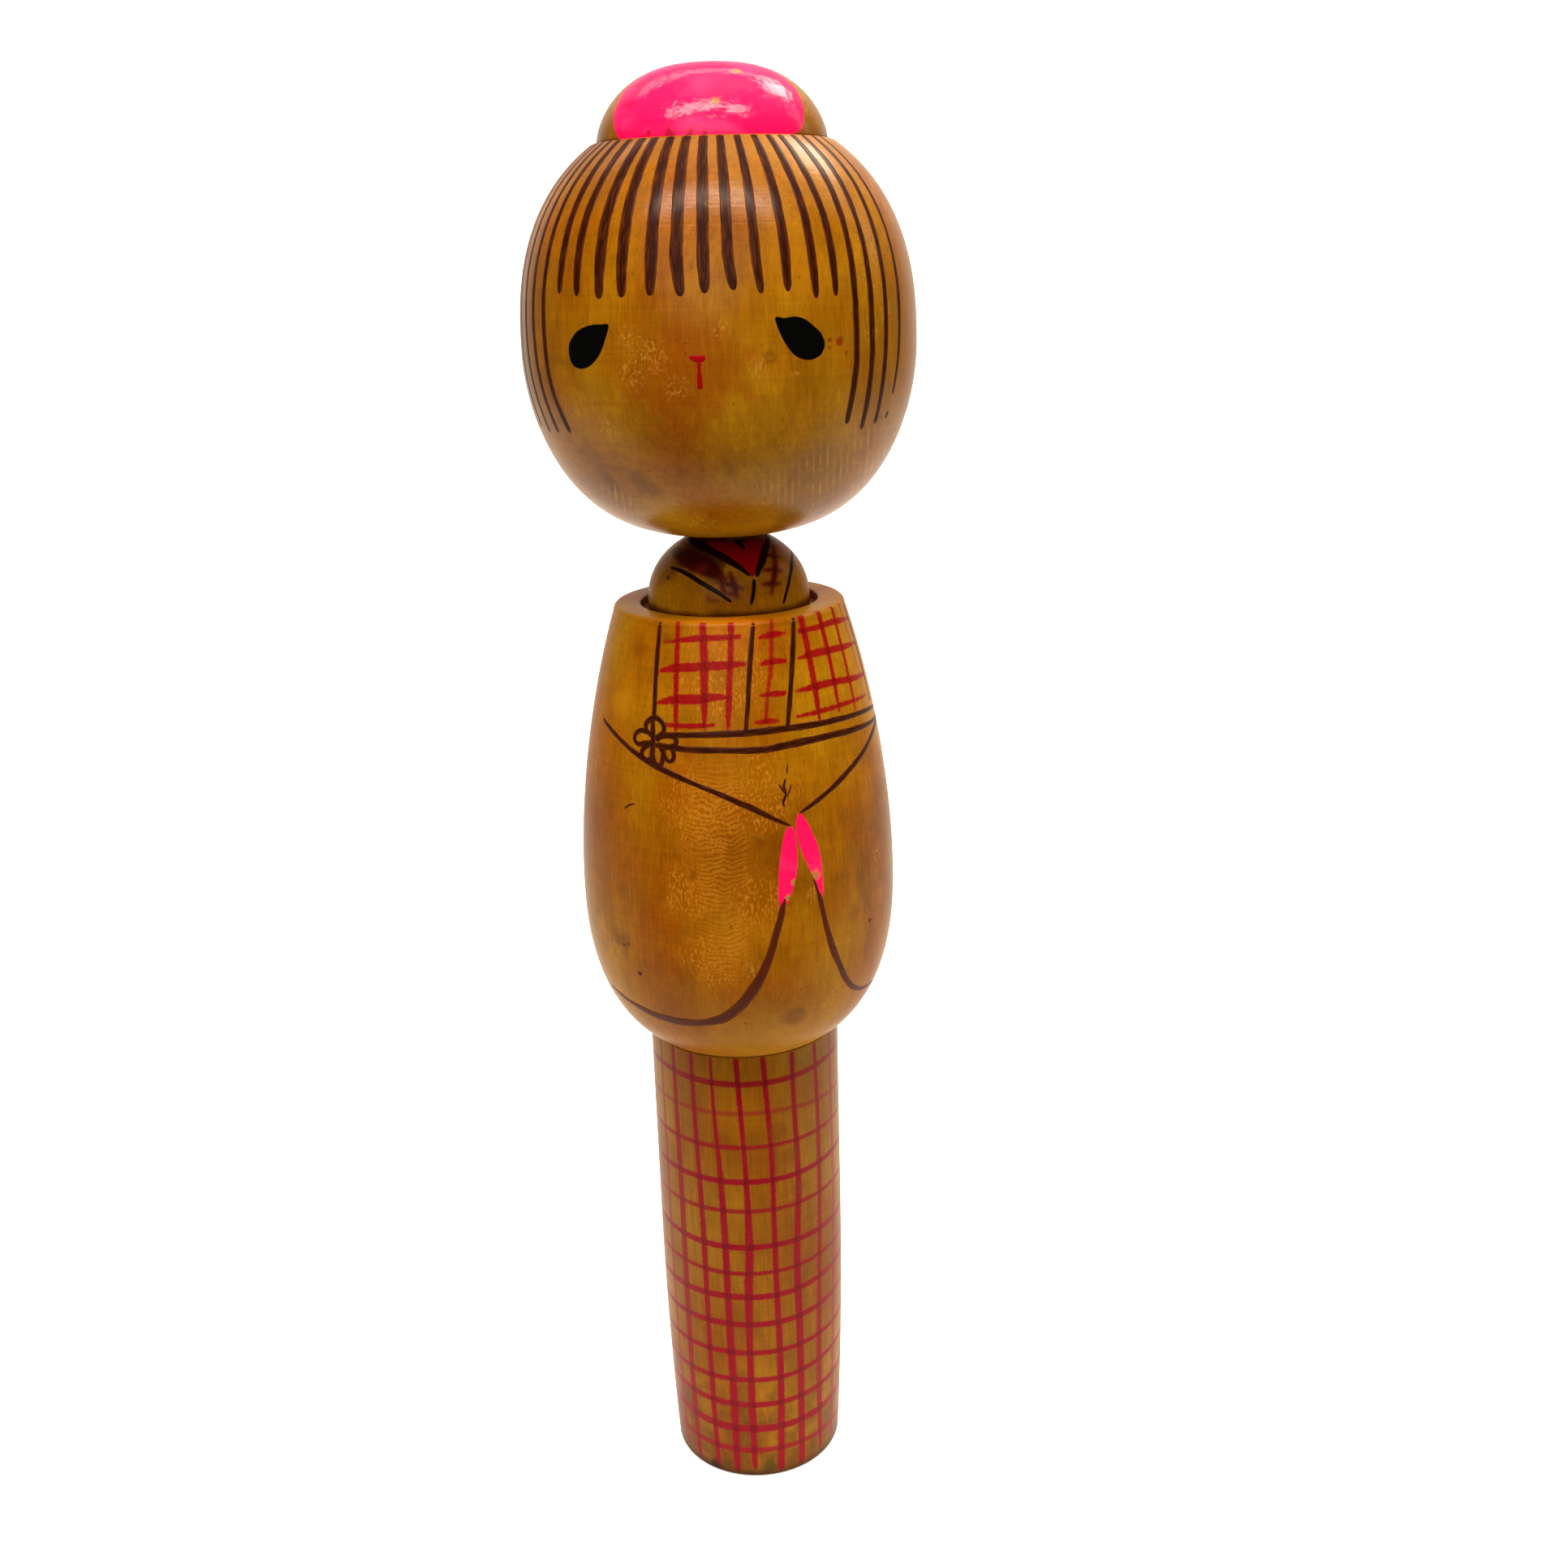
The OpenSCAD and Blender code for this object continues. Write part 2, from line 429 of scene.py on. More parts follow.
def put(tree, kind, *values, out=None, stops=(), **settings):
    """Adds a node with its settings and links, and returns its first open output, or the one named.
    The kind is a short name, a sum in capitals, or the node's type. Values fill the open inputs in order,
    and a dictionary at their end fills inputs by name. Stops are (position, hex or grey level) of a ramp."""
    kind, usual = ("Math", {"operation": kind}) if kind.isupper() else SHORT.get(kind, (kind, {}))
    node = tree.nodes.new("ShaderNode" + kind)
    for key, value in {**usual, **settings}.items():
        setattr(node, key, value)
    named = values[-1] if values and isinstance(values[-1], dict) else {}
    pairs = list(zip([socket for socket in node.inputs if socket.enabled], values[: len(values) - bool(named)]))
    for socket, value in pairs + [(node.inputs[key], value) for key, value in named.items()]:
        if isinstance(value, bpy.types.NodeSocket):
            tree.links.new(value, socket)
        else:
            socket.default_value = value
    for k, (position, value) in enumerate(stops):
        elements = node.color_ramp.elements
        element = elements[k] if k < 2 else elements.new(position)
        element.position = position
        element.color = linear(value) if isinstance(value, str) else (value, value, value, 1.0)
    return node.outputs[out] if out else next((socket for socket in node.outputs if socket.enabled), None)


def new_material(name):
    """Empty node material, with the function that puts a node into it."""
    material = bpy.data.materials.new(name)
    material.use_nodes = True
    material.node_tree.nodes.clear()
    return material, partial(put, material.node_tree)


def places(add):
    """Place on the object, in millimetres."""
    return add("Mapping", add("TexCoord", out="Object"), {"Scale": (1000, 1000, 1000)})


def grain(add, in_mm, scale, offset=(0, 0, 0), detail=3.0):
    """Noise whose spots have a chosen size along each axis: scale is spots per millimetre."""
    return add("TexNoise", {"Vector": add("Mapping", in_mm, offset, {"Scale": scale}), "Scale": 1.0, "Detail": detail})


def zone(add, in_mm, irregular, centre, radius):
    """Soft-edged, irregular spot: 1 near a centre in millimetres, 0 beyond the radius."""
    away = add("VectorMath", in_mm, centre, operation="DISTANCE")
    wobble = add("MULTIPLY", add("SUBTRACT", irregular, 0.5), 1.6 * radius)
    return add("Fade", add("ADD", away, wobble), radius, 0.3 * radius)


def zones(add, in_mm, irregular, spots):
    """Union of several such spots."""
    cover = zone(add, in_mm, irregular, *spots[0])
    for spot in spots[1:]:
        cover = add("MAXIMUM", cover, zone(add, in_mm, irregular, *spot))
    return cover


def arches(add, in_mm, irregular, blotch, colour, look, ladder):
    """Figure of stacked shallow arches up the middle of a bulge, on its front. The ladder is the middle's x,
    its lowest and highest z, and its half width."""
    side, low, high, width = ladder
    pitch, bend, wander = 0.95, 0.03, 5.0
    x, y, z = add("SeparateXYZ", in_mm).node.outputs
    off = add("SUBTRACT", x, side)
    bow = add("MULTIPLY", add("MULTIPLY", off, off), bend)
    phase = add("ADD", add("SUBTRACT", add("DIVIDE", z, pitch), bow), add("MULTIPLY", irregular, wander))
    line = add("ValToRGB", add("PINGPONG", phase, 0.5), stops=[(0.1, 0.0), (0.4, 1.0)])
    inside = add("Fade", add("ABSOLUTE", off), width, 0.35 * width)
    middle = add("ABSOLUTE", add("SUBTRACT", z, 0.5 * (low + high)))
    tall = add("Fade", middle, 0.5 * (high - low), 0.3 * (high - low))
    patchy = add("ValToRGB", blotch, stops=[(0.4, 0.25), (0.6, 0.8)])
    front = add("MULTIPLY", add("LESS_THAN", y, 0.0), patchy)
    share = add("MULTIPLY", add("MULTIPLY", inside, tall), front)
    colour = add("Blend", add("MULTIPLY", share, 0.4), colour, linear(look.wood_dark))
    return add("Blend", add("MULTIPLY", share, add("MULTIPLY", line, 0.8)), colour, linear(look.wood_fleck))


def plaid(add, in_mm, fibres, ring_tone, colour, dyed, dye_edge):
    """Dye along the two families of lines whose distances are stored on the mesh. It hides the amber, and
    crossings carry two coats of it."""
    blur = add("MULTIPLY", add("SUBTRACT", grain(add, in_mm, (2.2, 2.2, 2.2)), 0.5), 0.6)
    streak = add("ValToRGB", fibres, stops=[(0.3, 0.9), (0.55, 1.0)])
    covers = []
    for family in ("warp", "weft"):
        inside = add("Attribute", out="Fac", attribute_name=family)
        strength = add("Attribute", out="Fac", attribute_name=family + "_dye")
        soft = add("Fade", add("ADD", inside, blur), -dye_edge, dye_edge)
        full = add("MULTIPLY", strength, 1.2, use_clamp=True)
        covers.append(add("MULTIPLY", add("MULTIPLY", soft, full), streak))
    tone = add("Blend", add("MULTIPLY", *covers), *map(linear, dyed))
    grained = add("Blend", 0.25, tone, add("Overlay", 1.0, tone, ring_tone))
    return add("Blend", add("MAXIMUM", *covers), colour, grained)


def lacquered_wood(name, look, pith, tilt, rings, tone, gloss, dyed=None, dye_edge=0.18, ladder=None, flecked=(),
                   scuffed=(), stains_and_shade=(), soil_and_shade=None, ring_worn=(), tints_and_painted_light=()):
    """Turned mizuki or maple under an aged amber clear lacquer. Growth rings run round a pith beside the piece,
    so a bulging side shows them as nested arches; short light flecks and fine fibres run up the grain,
    faint lathe lines run round, and the lacquer gives a satin gloss over all of it."""
    material, add = new_material(name)
    in_mm = places(add)
    noise = partial(grain, add, in_mm)
    from_pith = add("Mapping", in_mm, pith, [math.radians(a) for a in tilt])
    # growth rings: one light and one dark band each `rings` mm, wandering by a few millimetres
    growth = add(
        "TexWave",
        {"Vector": from_pith, "Scale": WAVES / rings, "Distortion": 2.2, "Detail": 3.0, "Detail Scale": 0.25,
         "Detail Roughness": 0.6},
        out="Fac", wave_type="RINGS", rings_direction="Z", wave_profile="SAW",
    )
    fibres = noise((3.0, 3.0, 0.22), detail=4.0)
    coarse_fibres = noise((0.9, 0.9, 0.05), (3, 1, 0), 4.0)
    flecks = noise((2.4, 2.4, 1.1), detail=2.0)
    lathe = noise((0.03, 0.03, 2.4), detail=5.0)
    broad = noise((0.05, 0.05, 0.03), detail=4.0)
    blotch = noise((0.16, 0.16, 0.11), (31, 7, 0), 6.0)
    fine = noise((1.3, 1.3, 1.0), (5, 9, 2), 4.0)
    irregular = noise((0.22, 0.22, 0.22), (11, 3, 5), 4.0)
    cover = partial(zones, add, in_mm, irregular)
    fleck, bare, grime = linear(look.wood_fleck), linear(look.wood_bare), linear(look.wood_grime)

    colour = add("ValToRGB", broad, stops=[(0.34, look.wood_dark), (0.5, look.wood_mid), (0.64, look.wood_light)])
    # each pattern lightens and darkens the wood a little
    ring_tone = add("ValToRGB", growth, stops=[(0.0, 0.42), (0.7, 0.5), (0.92, 0.57), (1.0, 0.5)])
    for amount, shades in (
        (0.35, add("ValToRGB", blotch, stops=[(0.32, 0.34), (0.5, 0.5), (0.66, 0.62)])),
        (0.3, ring_tone),
        (0.55, add("ValToRGB", fibres, stops=[(0.3, 0.36), (0.5, 0.5), (0.7, 0.62)])),
        (0.4, add("ValToRGB", coarse_fibres, stops=[(0.35, 0.4), (0.5, 0.5), (0.66, 0.62)])),
        (0.26, add("ValToRGB", lathe, stops=[(0.35, 0.38), (0.5, 0.5), (0.65, 0.6)])),
    ):
        colour = add("Overlay", amount, colour, shades)
    # painted shade: the whole piece is darkened by its own tone, so the one wood comes in lit and shaded copies, each
    # set to how bright that piece looks under the studio light (the skirt, lit from the floor, darkest)
    colour = add("Tint", 1.0, colour, (tone, tone, tone, 1))
    # broad tints: in some places the lacquer has yellowed, reddened or bleached, in others the tint is painted light
    # and shade, standing in for highlights, for reflections of the studio at the sides, for light from the floor and
    # for shadow
    for centre, radius, shade, amount in tints_and_painted_light:
        share = add("MULTIPLY", cover([(centre, radius)]), amount)
        colour = add("Blend", share, colour, add("Overlay", 0.6, linear(shade), colour))
    if flecked:
        # quarter-cut figure: light flecks a third of a millimetre wide on a redder ground
        figure = cover(flecked)
        colour = add("Blend", add("MULTIPLY", figure, 0.4), colour, linear(look.wood_dark))
        light = add("ValToRGB", flecks, stops=[(0.53, 0.0), (0.61, 0.74)])
        colour = add("Blend", add("MULTIPLY", light, figure), colour, fleck)
    if ladder:
        colour = arches(add, in_mm, irregular, blotch, colour, look, ladder)
    # hairline scratches along the grain, pale where the lacquer is broken
    hair = add("ValToRGB", noise((2.6, 2.6, 0.09), (17, 2, 0), 2.0), stops=[(0.68, 0.0), (0.76, 0.4)])
    colour = add("Blend", hair, colour, fleck)
    # dents and pores that hold dirt
    pores = add("ValToRGB", fine, stops=[(0.63, 0.0), (0.72, 0.65)])
    dirty = add("ValToRGB", blotch, stops=[(0.45, 0.0), (0.6, 1.0)])
    colour = add("Blend", add("MULTIPLY", pores, dirty), colour, grime)
    if dyed:
        colour = plaid(add, in_mm, fibres, ring_tone, colour, dyed, dye_edge)
    # small spots laid over the colour: stains and dirt, and on the shoulders painted shade under the head
    for centre, radius, shade, amount in stains_and_shade:
        colour = add("Blend", add("MULTIPLY", cover([(centre, radius)]), amount), colour, linear(shade))
    if soil_and_shade:
        # dirt together with painted shade along a foot or a joint, up to an uneven height above it
        level, reach, shade = soil_and_shade
        height_mm = add("SeparateXYZ", in_mm, out="Z")
        uneven = add("SUBTRACT", height_mm, add("MULTIPLY", irregular, reach * 1.6))
        dark = add("Fade", uneven, level + 0.5 * reach, level - 0.9 * reach)
        colour = add("Blend", add("MULTIPLY", dark, 0.9), colour, linear(shade))
    if ring_worn:
        # the lacquer is rubbed through along the grain, as fine pale lines up the side
        raised = add(
            "TexWave",
            {"Vector": in_mm, "Scale": WAVES / 1.3, "Distortion": 2.4, "Detail": 1.0, "Detail Scale": 0.06,
             "Detail Roughness": 0.4},
            out="Fac", wave_type="BANDS", bands_direction="X",
        )
        broken = add("ValToRGB", noise((0.5, 0.5, 0.06), (8, 3, 1), 2.0), stops=[(0.38, 0.0), (0.58, 1.0)])
        late_wood = add("MULTIPLY", add("ValToRGB", raised, stops=[(0.62, 0.0), (0.95, 0.5)]), broken)
        colour = add("Blend", add("MULTIPLY", cover(ring_worn), late_wood), colour, bare)
    if scuffed:
        # rubbed places: pale, dull crumbs and scratches in the lacquer
        crumbs = add("ValToRGB", noise((1.9, 1.9, 1.5), (2, 8, 4), 4.0), stops=[(0.5, 0.0), (0.66, 0.6)])
        lines = add("ValToRGB", noise((3.2, 3.2, 0.2), (6, 1, 9), 3.0), stops=[(0.6, 0.0), (0.7, 0.4)])
        scuff = add("MULTIPLY", cover(scuffed), add("MAXIMUM", crumbs, lines))
        colour = add("Blend", scuff, colour, bare)

    bump = add("Bump", {"Height": add("Blend", 0.5, lathe, fibres), "Strength": 0.2, "Distance": 0.0002})
    coat_bump = add("Bump", {"Height": add("Blend", 0.35, lathe, fine), "Strength": 0.3, "Distance": 0.0002})
    add("OutputMaterial", add(
        "BsdfPrincipled",
        {"Base Color": colour, "Roughness": add("MapRange", blotch, 0.0, 1.0, 0.3, 0.46), "IOR": 1.45,
         "Specular IOR Level": 0.02, "Normal": bump, "Coat Weight": gloss, "Coat IOR": 1.5,
         "Coat Roughness": add("MapRange", fine, 0.3, 0.7, 0.15, 0.27), "Coat Normal": coat_bump},
    ))
    return material


def brush_paint(name, full, thin, roughness, wear, chip=None, gloss=0.08):
    """Hand-brushed paint: full in the middle of the stroke, thinner and browner along its edges and where
    the bristles part, with a few chips where the wood shows."""
    material, add = new_material(name)
    brush = add("Attribute", out="Vector", attribute_name="brush")
    across = add("SeparateXYZ", brush, out="Y")
    stretched = add("Mapping", brush, {"Scale": (0.35, 3.0, 1.7)})
    bristles = add("TexNoise", {"Vector": stretched, "Scale": 1.0, "Detail": 3.0})
    edge = add("POWER", add("ABSOLUTE", across), 3.0)
    thinness = add("ADD", add("MULTIPLY", edge, 0.45), bristles)
    colour = add("Blend", add("ValToRGB", thinness, stops=[(0.5, 0.0), (0.95, 1.0)]), linear(full), linear(thin))
    if chip:
        place = add("TexCoord", out="Object")
        spots = add("TexNoise", {"Vector": place, "Scale": 900.0, "Detail": 4.0})
        where = add("TexNoise", {"Vector": place, "Scale": 110.0, "Detail": 2.0})
        worn = add("MULTIPLY", add("ValToRGB", spots, stops=[(0.5, 0.0), (0.62, 1.0)]),
                   add("ValToRGB", where, stops=[(1 - wear, 0.0), (1.02 - wear, 1.0)]))
        colour = add("Blend", worn, colour, linear(chip))
    add("OutputMaterial", add(
        "BsdfPrincipled",
        {"Base Color": colour, "Roughness": roughness, "IOR": 1.5, "Specular IOR Level": 0.02,
         "Normal": add("Bump", {"Height": bristles, "Strength": 0.12, "Distance": 0.0001}),
         "Coat Weight": gloss, "Coat Roughness": 0.22, "Coat IOR": 1.5},
    ))
    return material


def rose_enamel(name, look, worn, dirty):
    """Fluorescent rose enamel, poured on thick: a glossy film that glows a little, with scuffs, specks of dirt,
    and chips where the wood shows."""
    material, add = new_material(name)
    in_mm = places(add)
    cloud = grain(add, in_mm, (0.1, 0.1, 0.2), detail=4.0)
    fine = grain(add, in_mm, (1.4, 1.4, 1.4), (4, 4, 4), 5.0)
    irregular = grain(add, in_mm, (0.5, 0.5, 0.5), (9, 1, 3), 4.0)
    scuffs = grain(add, in_mm, (0.9, 0.9, 2.6), detail=5.0)
    dark = linear(look.rose_dark)
    pale = add("ValToRGB", cloud, stops=[(0.52, 0.0), (0.7, 0.45)])
    colour = add("Blend", pale, linear(look.rose), linear(look.rose_pale))
    colour = add("Blend", add("ValToRGB", fine, stops=[(0.66, 0.0), (0.72, 0.7)]), colour, dark)
    chips = add("MULTIPLY", zones(add, in_mm, irregular, worn), add("ValToRGB", fine, stops=[(0.4, 0.4), (0.5, 1.0)]))
    colour = add("Blend", chips, colour, linear(look.worn_paint))
    colour = add("Blend", add("MULTIPLY", zones(add, in_mm, irregular, dirty), 0.85), colour, dark)
    add("OutputMaterial", add(
        "BsdfPrincipled",
        {"Base Color": colour, "Roughness": 0.6, "IOR": 1.5, "Specular IOR Level": 0.02,
         "Emission Color": colour, "Emission Strength": 0.3, "Coat Weight": 0.32,
         "Coat Roughness": add("MapRange", scuffs, 0.35, 0.7, 0.05, 0.22), "Coat IOR": 1.5,
         "Coat Normal": add("Bump", {"Height": irregular, "Strength": 0.5, "Distance": 0.0004})},
    ))
    return material


def bare_dowel(name, look):
    """Plain beech dowel, machined: pale, matt, with fine fibres along it."""
    material, add = new_material(name)
    stretched = add("Mapping", add("TexCoord", out="Object"), {"Scale": (3000, 3000, 150)})
    fibres = add("TexNoise", {"Vector": stretched, "Scale": 1.0, "Detail": 4.0})
    colour = add("ValToRGB", fibres, stops=[(0.3, look.dowel_dark), (0.7, look.dowel_light)])
    add("OutputMaterial", add("BsdfPrincipled", {"Base Color": colour, "Roughness": 0.6}))
    return material


def studio_paint(name, look):
    """Graded studio paper: white under and behind the doll, where the paper glows with light of its own as painted
    light, though it is no lamp, as if lit from behind;
    dark towards the camera and to the left, khaki to the right, which leaves the lacquer dark at its left edge and warm
    at its right one."""
    material, add = new_material(name)
    across, depth, _ = add("SeparateXYZ", add("TexCoord", out="Object")).node.outputs
    behind = add("Fade", depth, -0.22, -0.05)
    # the white opening widens with the distance behind the doll
    aside = add("SUBTRACT", add("ABSOLUTE", across), add("MULTIPLY", depth, 0.5))
    share = add("MULTIPLY", behind, add("Fade", aside, 1.0, 0.3))
    right = add("MULTIPLY", add("Fade", across, 0.1, 0.7), behind)
    card = add("Blend", right, linear(look.paper_dark), linear(look.paper_side))
    colour = add("Blend", share, card, linear(look.floor))
    # painted light: the white paper under and behind the doll glows and lights the doll, though it is no lamp
    add("OutputMaterial", add(
        "BsdfPrincipled",
        {"Base Color": colour, "Roughness": 0.9, "Specular IOR Level": 0.1, "Emission Color": linear(look.floor),
         "Emission Strength": add("MULTIPLY", share, 0.56)},
    ))
    return material


# ---------------------------------------------------------------- painting, in degrees and millimetres

# Fringe: one stroke each from the crown to the brow, (degrees at the crown, half way, tip), tip height, width
FRINGE = [
    (-47.0, -48.6, -48.7, 260.3, 1.8), (-39.5, -41.8, -41.4, 259.9, 1.8), (-32.3, -33.8, -33.4, 259.4, 2.2),
    (-26.0, -26.6, -26.3, 259.6, 2.1), (-18.4, -18.0, -18.1, 259.8, 2.1), (-11.2, -10.9, -9.8, 259.6, 2.1),
    (-3.8, -3.6, -3.4, 260.0, 2.0), (3.4, 3.1, 4.2, 260.4, 1.8), (10.9, 10.6, 11.4, 259.7, 1.6),
    (18.6, 18.9, 18.8, 259.9, 1.7), (25.6, 26.9, 26.9, 258.6, 1.6), (31.6, 33.5, 33.2, 258.8, 1.5),
]

# Side locks, from the crown down past the cheeks
LOCKS = [
    [(38.8, 286.2, 1.2), (40.2, 280, 1.5), (40.3, 270, 1.5), (39.8, 258, 1.5), (39.6, 248, 1.5), (38.2, 236.6, 1.3)],
    [(45.4, 286.2, 1.1), (46.4, 280, 1.4), (46.4, 268, 1.4), (46.0, 255, 1.6), (45.7, 246, 1.5), (45.0, 235.2, 1.3)],
    [(53.0, 286.2, 1.1), (54.0, 280, 1.4), (53.4, 268, 1.4), (52.6, 255, 1.5), (51.8, 246, 1.4), (51.2, 235.9, 1.3)],
    [(60.2, 286.2, 0.9), (61.4, 280, 1.1), (61.3, 268, 1.2), (60.6, 256, 1.3), (59.4, 248, 1.1), (58.1, 240.8, 0.8)],
    [(57.4, 238.0, 0.9), (57.2, 237.3, 1.0), (56.9, 236.6, 0.8)],
    [(-53.4, 286.2, 1.2), (-55.6, 278, 1.5), (-56.5, 266, 1.5), (-56.4, 254, 1.6), (-54.6, 243, 1.5),
     (-51.0, 235.9, 1.4)],
    [(-60.0, 286.2, 1.2), (-62.4, 276, 1.4), (-63.4, 264, 1.4), (-62.9, 252, 1.5), (-60.8, 243, 1.4),
     (-58.2, 235.6, 1.3)],
    [(-66.6, 286.2, 1.1), (-69.2, 276, 1.3), (-70.2, 264, 1.3), (-69.6, 252, 1.4), (-67.4, 243, 1.3),
     (-64.8, 235.4, 1.2)],
    [(-73.0, 286.2, 1.0), (-76.2, 276, 1.2), (-77.4, 264, 1.2), (-76.8, 252, 1.3), (-74.6, 243, 1.2),
     (-72.0, 236.0, 1.1)],
]

LEFT_EYE = [(-30.3, 255.2), (-33, 255.35), (-36.5, 255.2), (-40.2, 254.5), (-43.2, 253.2), (-44.9, 251.5),
            (-45, 249.9), (-43.9, 248.4), (-41.6, 247.7), (-38.4, 247.9), (-35.6, 248.9), (-33.2, 250.6), (-31.4, 253)]
RIGHT_EYE = [(14.7, 255.8), (17.4, 255.7), (20.2, 255.9), (23, 255.4), (25.8, 254.1), (28.2, 252.5), (29, 251),
             (28.1, 249.5), (25.9, 248.6), (22.6, 248.5), (19.6, 249.5), (17.3, 251.4), (15.5, 253.8)]

NOSE_BAR = [(-8.3, 249.7, 0.7), (-6.8, 249.45, 1.1), (-5.4, 249.3, 1.4), (-3.7, 249.75, 0.8)]
NOSE_STEM = [(-5.5, 249.0, 1.0), (-5.6, 247.6, 0.55), (-5.6, 246.2, 0.9), (-5.6, 244.1, 1.0)]

# Enamel on the topknot, on a plane round its pole: x to the right, y towards the back, in millimetres
ENAMEL = [(-18.9, -15.9), (-16.2, -19.8), (-11, -22.6), (0, -25.8), (10.6, -23.4), (15.6, -19.4), (17.6, -16.0),
          (16.6, -11.5), (12.6, -6.2), (6.5, -2.6), (-1, -1.4), (-8.4, -3.0), (-14.6, -6.6), (-18.2, -11.4)]

# Collar and lapels on the shoulder dome
COLLAR_BLACK = [
    [(-78, 212.9, 1.0), (-52, 212.6, 1.4), (-30, 212.0, 1.7), (-14, 211.2, 1.6), (-3, 210.3, 1.4), (6, 209.2, 1.1),
     (12.5, 208.0, 0.8), (17, 206.9, 0.5)],
    [(84, 212.8, 0.9), (62, 212.1, 1.1), (48, 211.4, 1.3), (38, 210.4, 1.4), (30.5, 209.1, 1.2), (25.5, 208.0, 0.9),
     (21.5, 206.6, 0.6)],
    [(19.8, 206.5, 0.5), (18.2, 204.8, 0.65), (16.6, 203.2, 0.6), (14.8, 201.5, 0.4)],
    [(-56, 208.1, 0.4), (-44, 207.9, 0.6), (-34, 207.4, 0.7), (-22, 206.2, 0.7), (-10, 204.6, 0.65), (2, 202.4, 0.5)],
    [(92, 209.2, 0.4), (78, 208.8, 0.6), (66, 207.9, 0.7), (56, 206.4, 0.7), (47.5, 204.2, 0.65), (39.8, 200.9, 0.5)],
    [(14, 213.0, 2.2), (17, 212.2, 1.5), (19.6, 211.2, 0.4)],
]
COLLAR_RED = [(18.9, 206.7), (12, 208.5), (2, 210.2), (-14, 211.5), (-32, 212.3), (-30, 212.9), (5, 213.0), (40, 212.9),
              (58, 212.4), (46, 211.7), (34, 210.2), (26, 208.6)]

# Black lines of the jacket: lapels, sash, front edges and hems
LAPELS = [
    [(-35.2, 199.7, 0.7), (-34.6, 195.5, 0.85), (-34.0, 190, 0.8), (-33.4, 185.5, 0.8), (-33.0, 181.6, 0.8)],
    [(11.2, 199.7, 0.6), (9.3, 196.0, 0.75), (8.0, 192.5, 0.8), (6.7, 188, 0.75), (5.7, 184, 0.7), (4.5, 179.9, 0.6)],
    [(31.8, 199.8, 0.7), (29.8, 196.3, 0.85), (27.8, 193, 0.9), (25.4, 188.6, 0.85), (23.1, 184, 0.8),
     (21.2, 179.9, 0.7)],
    [(78.5, 199.6, 0.5), (78.0, 195, 0.6), (77.6, 190, 0.6), (77.4, 186, 0.6), (77.2, 179, 0.5)],
]
SASH = [
    [(-31, 178.8, 0.8), (-22, 179.1, 0.9), (-10, 179.45, 1.0), (5, 179.65, 1.1), (20, 179.7, 1.1), (36, 179.5, 1.0),
     (52, 179.1, 0.9), (66, 178.5, 0.8), (84, 177.4, 0.5)],
    [(-31, 176.9, 0.9), (-20, 176.6, 1.0), (-4, 176.5, 1.0), (11, 176.3, 1.1), (24, 176.7, 1.2), (40, 176.75, 1.1),
     (54, 176.3, 1.0), (68, 175.7, 0.8), (88, 174.9, 0.5)],
]
FRONT_EDGES = [
    [(-65, 179.1, 0.6), (-54, 177.2, 0.7), (-42, 174.9, 0.8), (-30, 172.7, 1.0), (-18, 170.6, 0.8), (-6, 168.2, 0.75),
     (6, 165.1, 0.9), (13, 162.9, 0.7), (19.3, 161.0, 0.4)],
    [(22.3, 163.2, 0.4), (28, 164.5, 0.7), (36, 166.4, 0.8), (48, 169.2, 0.9), (60, 171.6, 0.8), (70, 173.4, 0.9),
     (86, 175.2, 0.5)],
]
HEMS = [
    [(15.8, 147.8, 0.5), (14.4, 144.6, 1.0), (12.4, 140.4, 1.2), (9.9, 135.8, 1.3), (6.6, 131.0, 1.6),
     (2.4, 126.8, 1.9), (-2.8, 123.2, 1.9), (-9, 120.7, 1.8), (-17, 119.4, 1.5), (-27, 118.8, 1.7), (-38, 119.1, 1.5),
     (-50, 120.0, 1.1), (-66, 121.4, 0.6)],
    [(26.4, 150.0, 0.4), (28.4, 146.2, 0.8), (29.8, 142.2, 0.9), (31.6, 137.8, 1.0), (34.2, 133.5, 1.3),
     (37.6, 129.4, 1.1), (42, 125.4, 1.0), (48, 122.2, 0.9), (56, 120.2, 0.8), (70, 119.0, 0.5)],
]
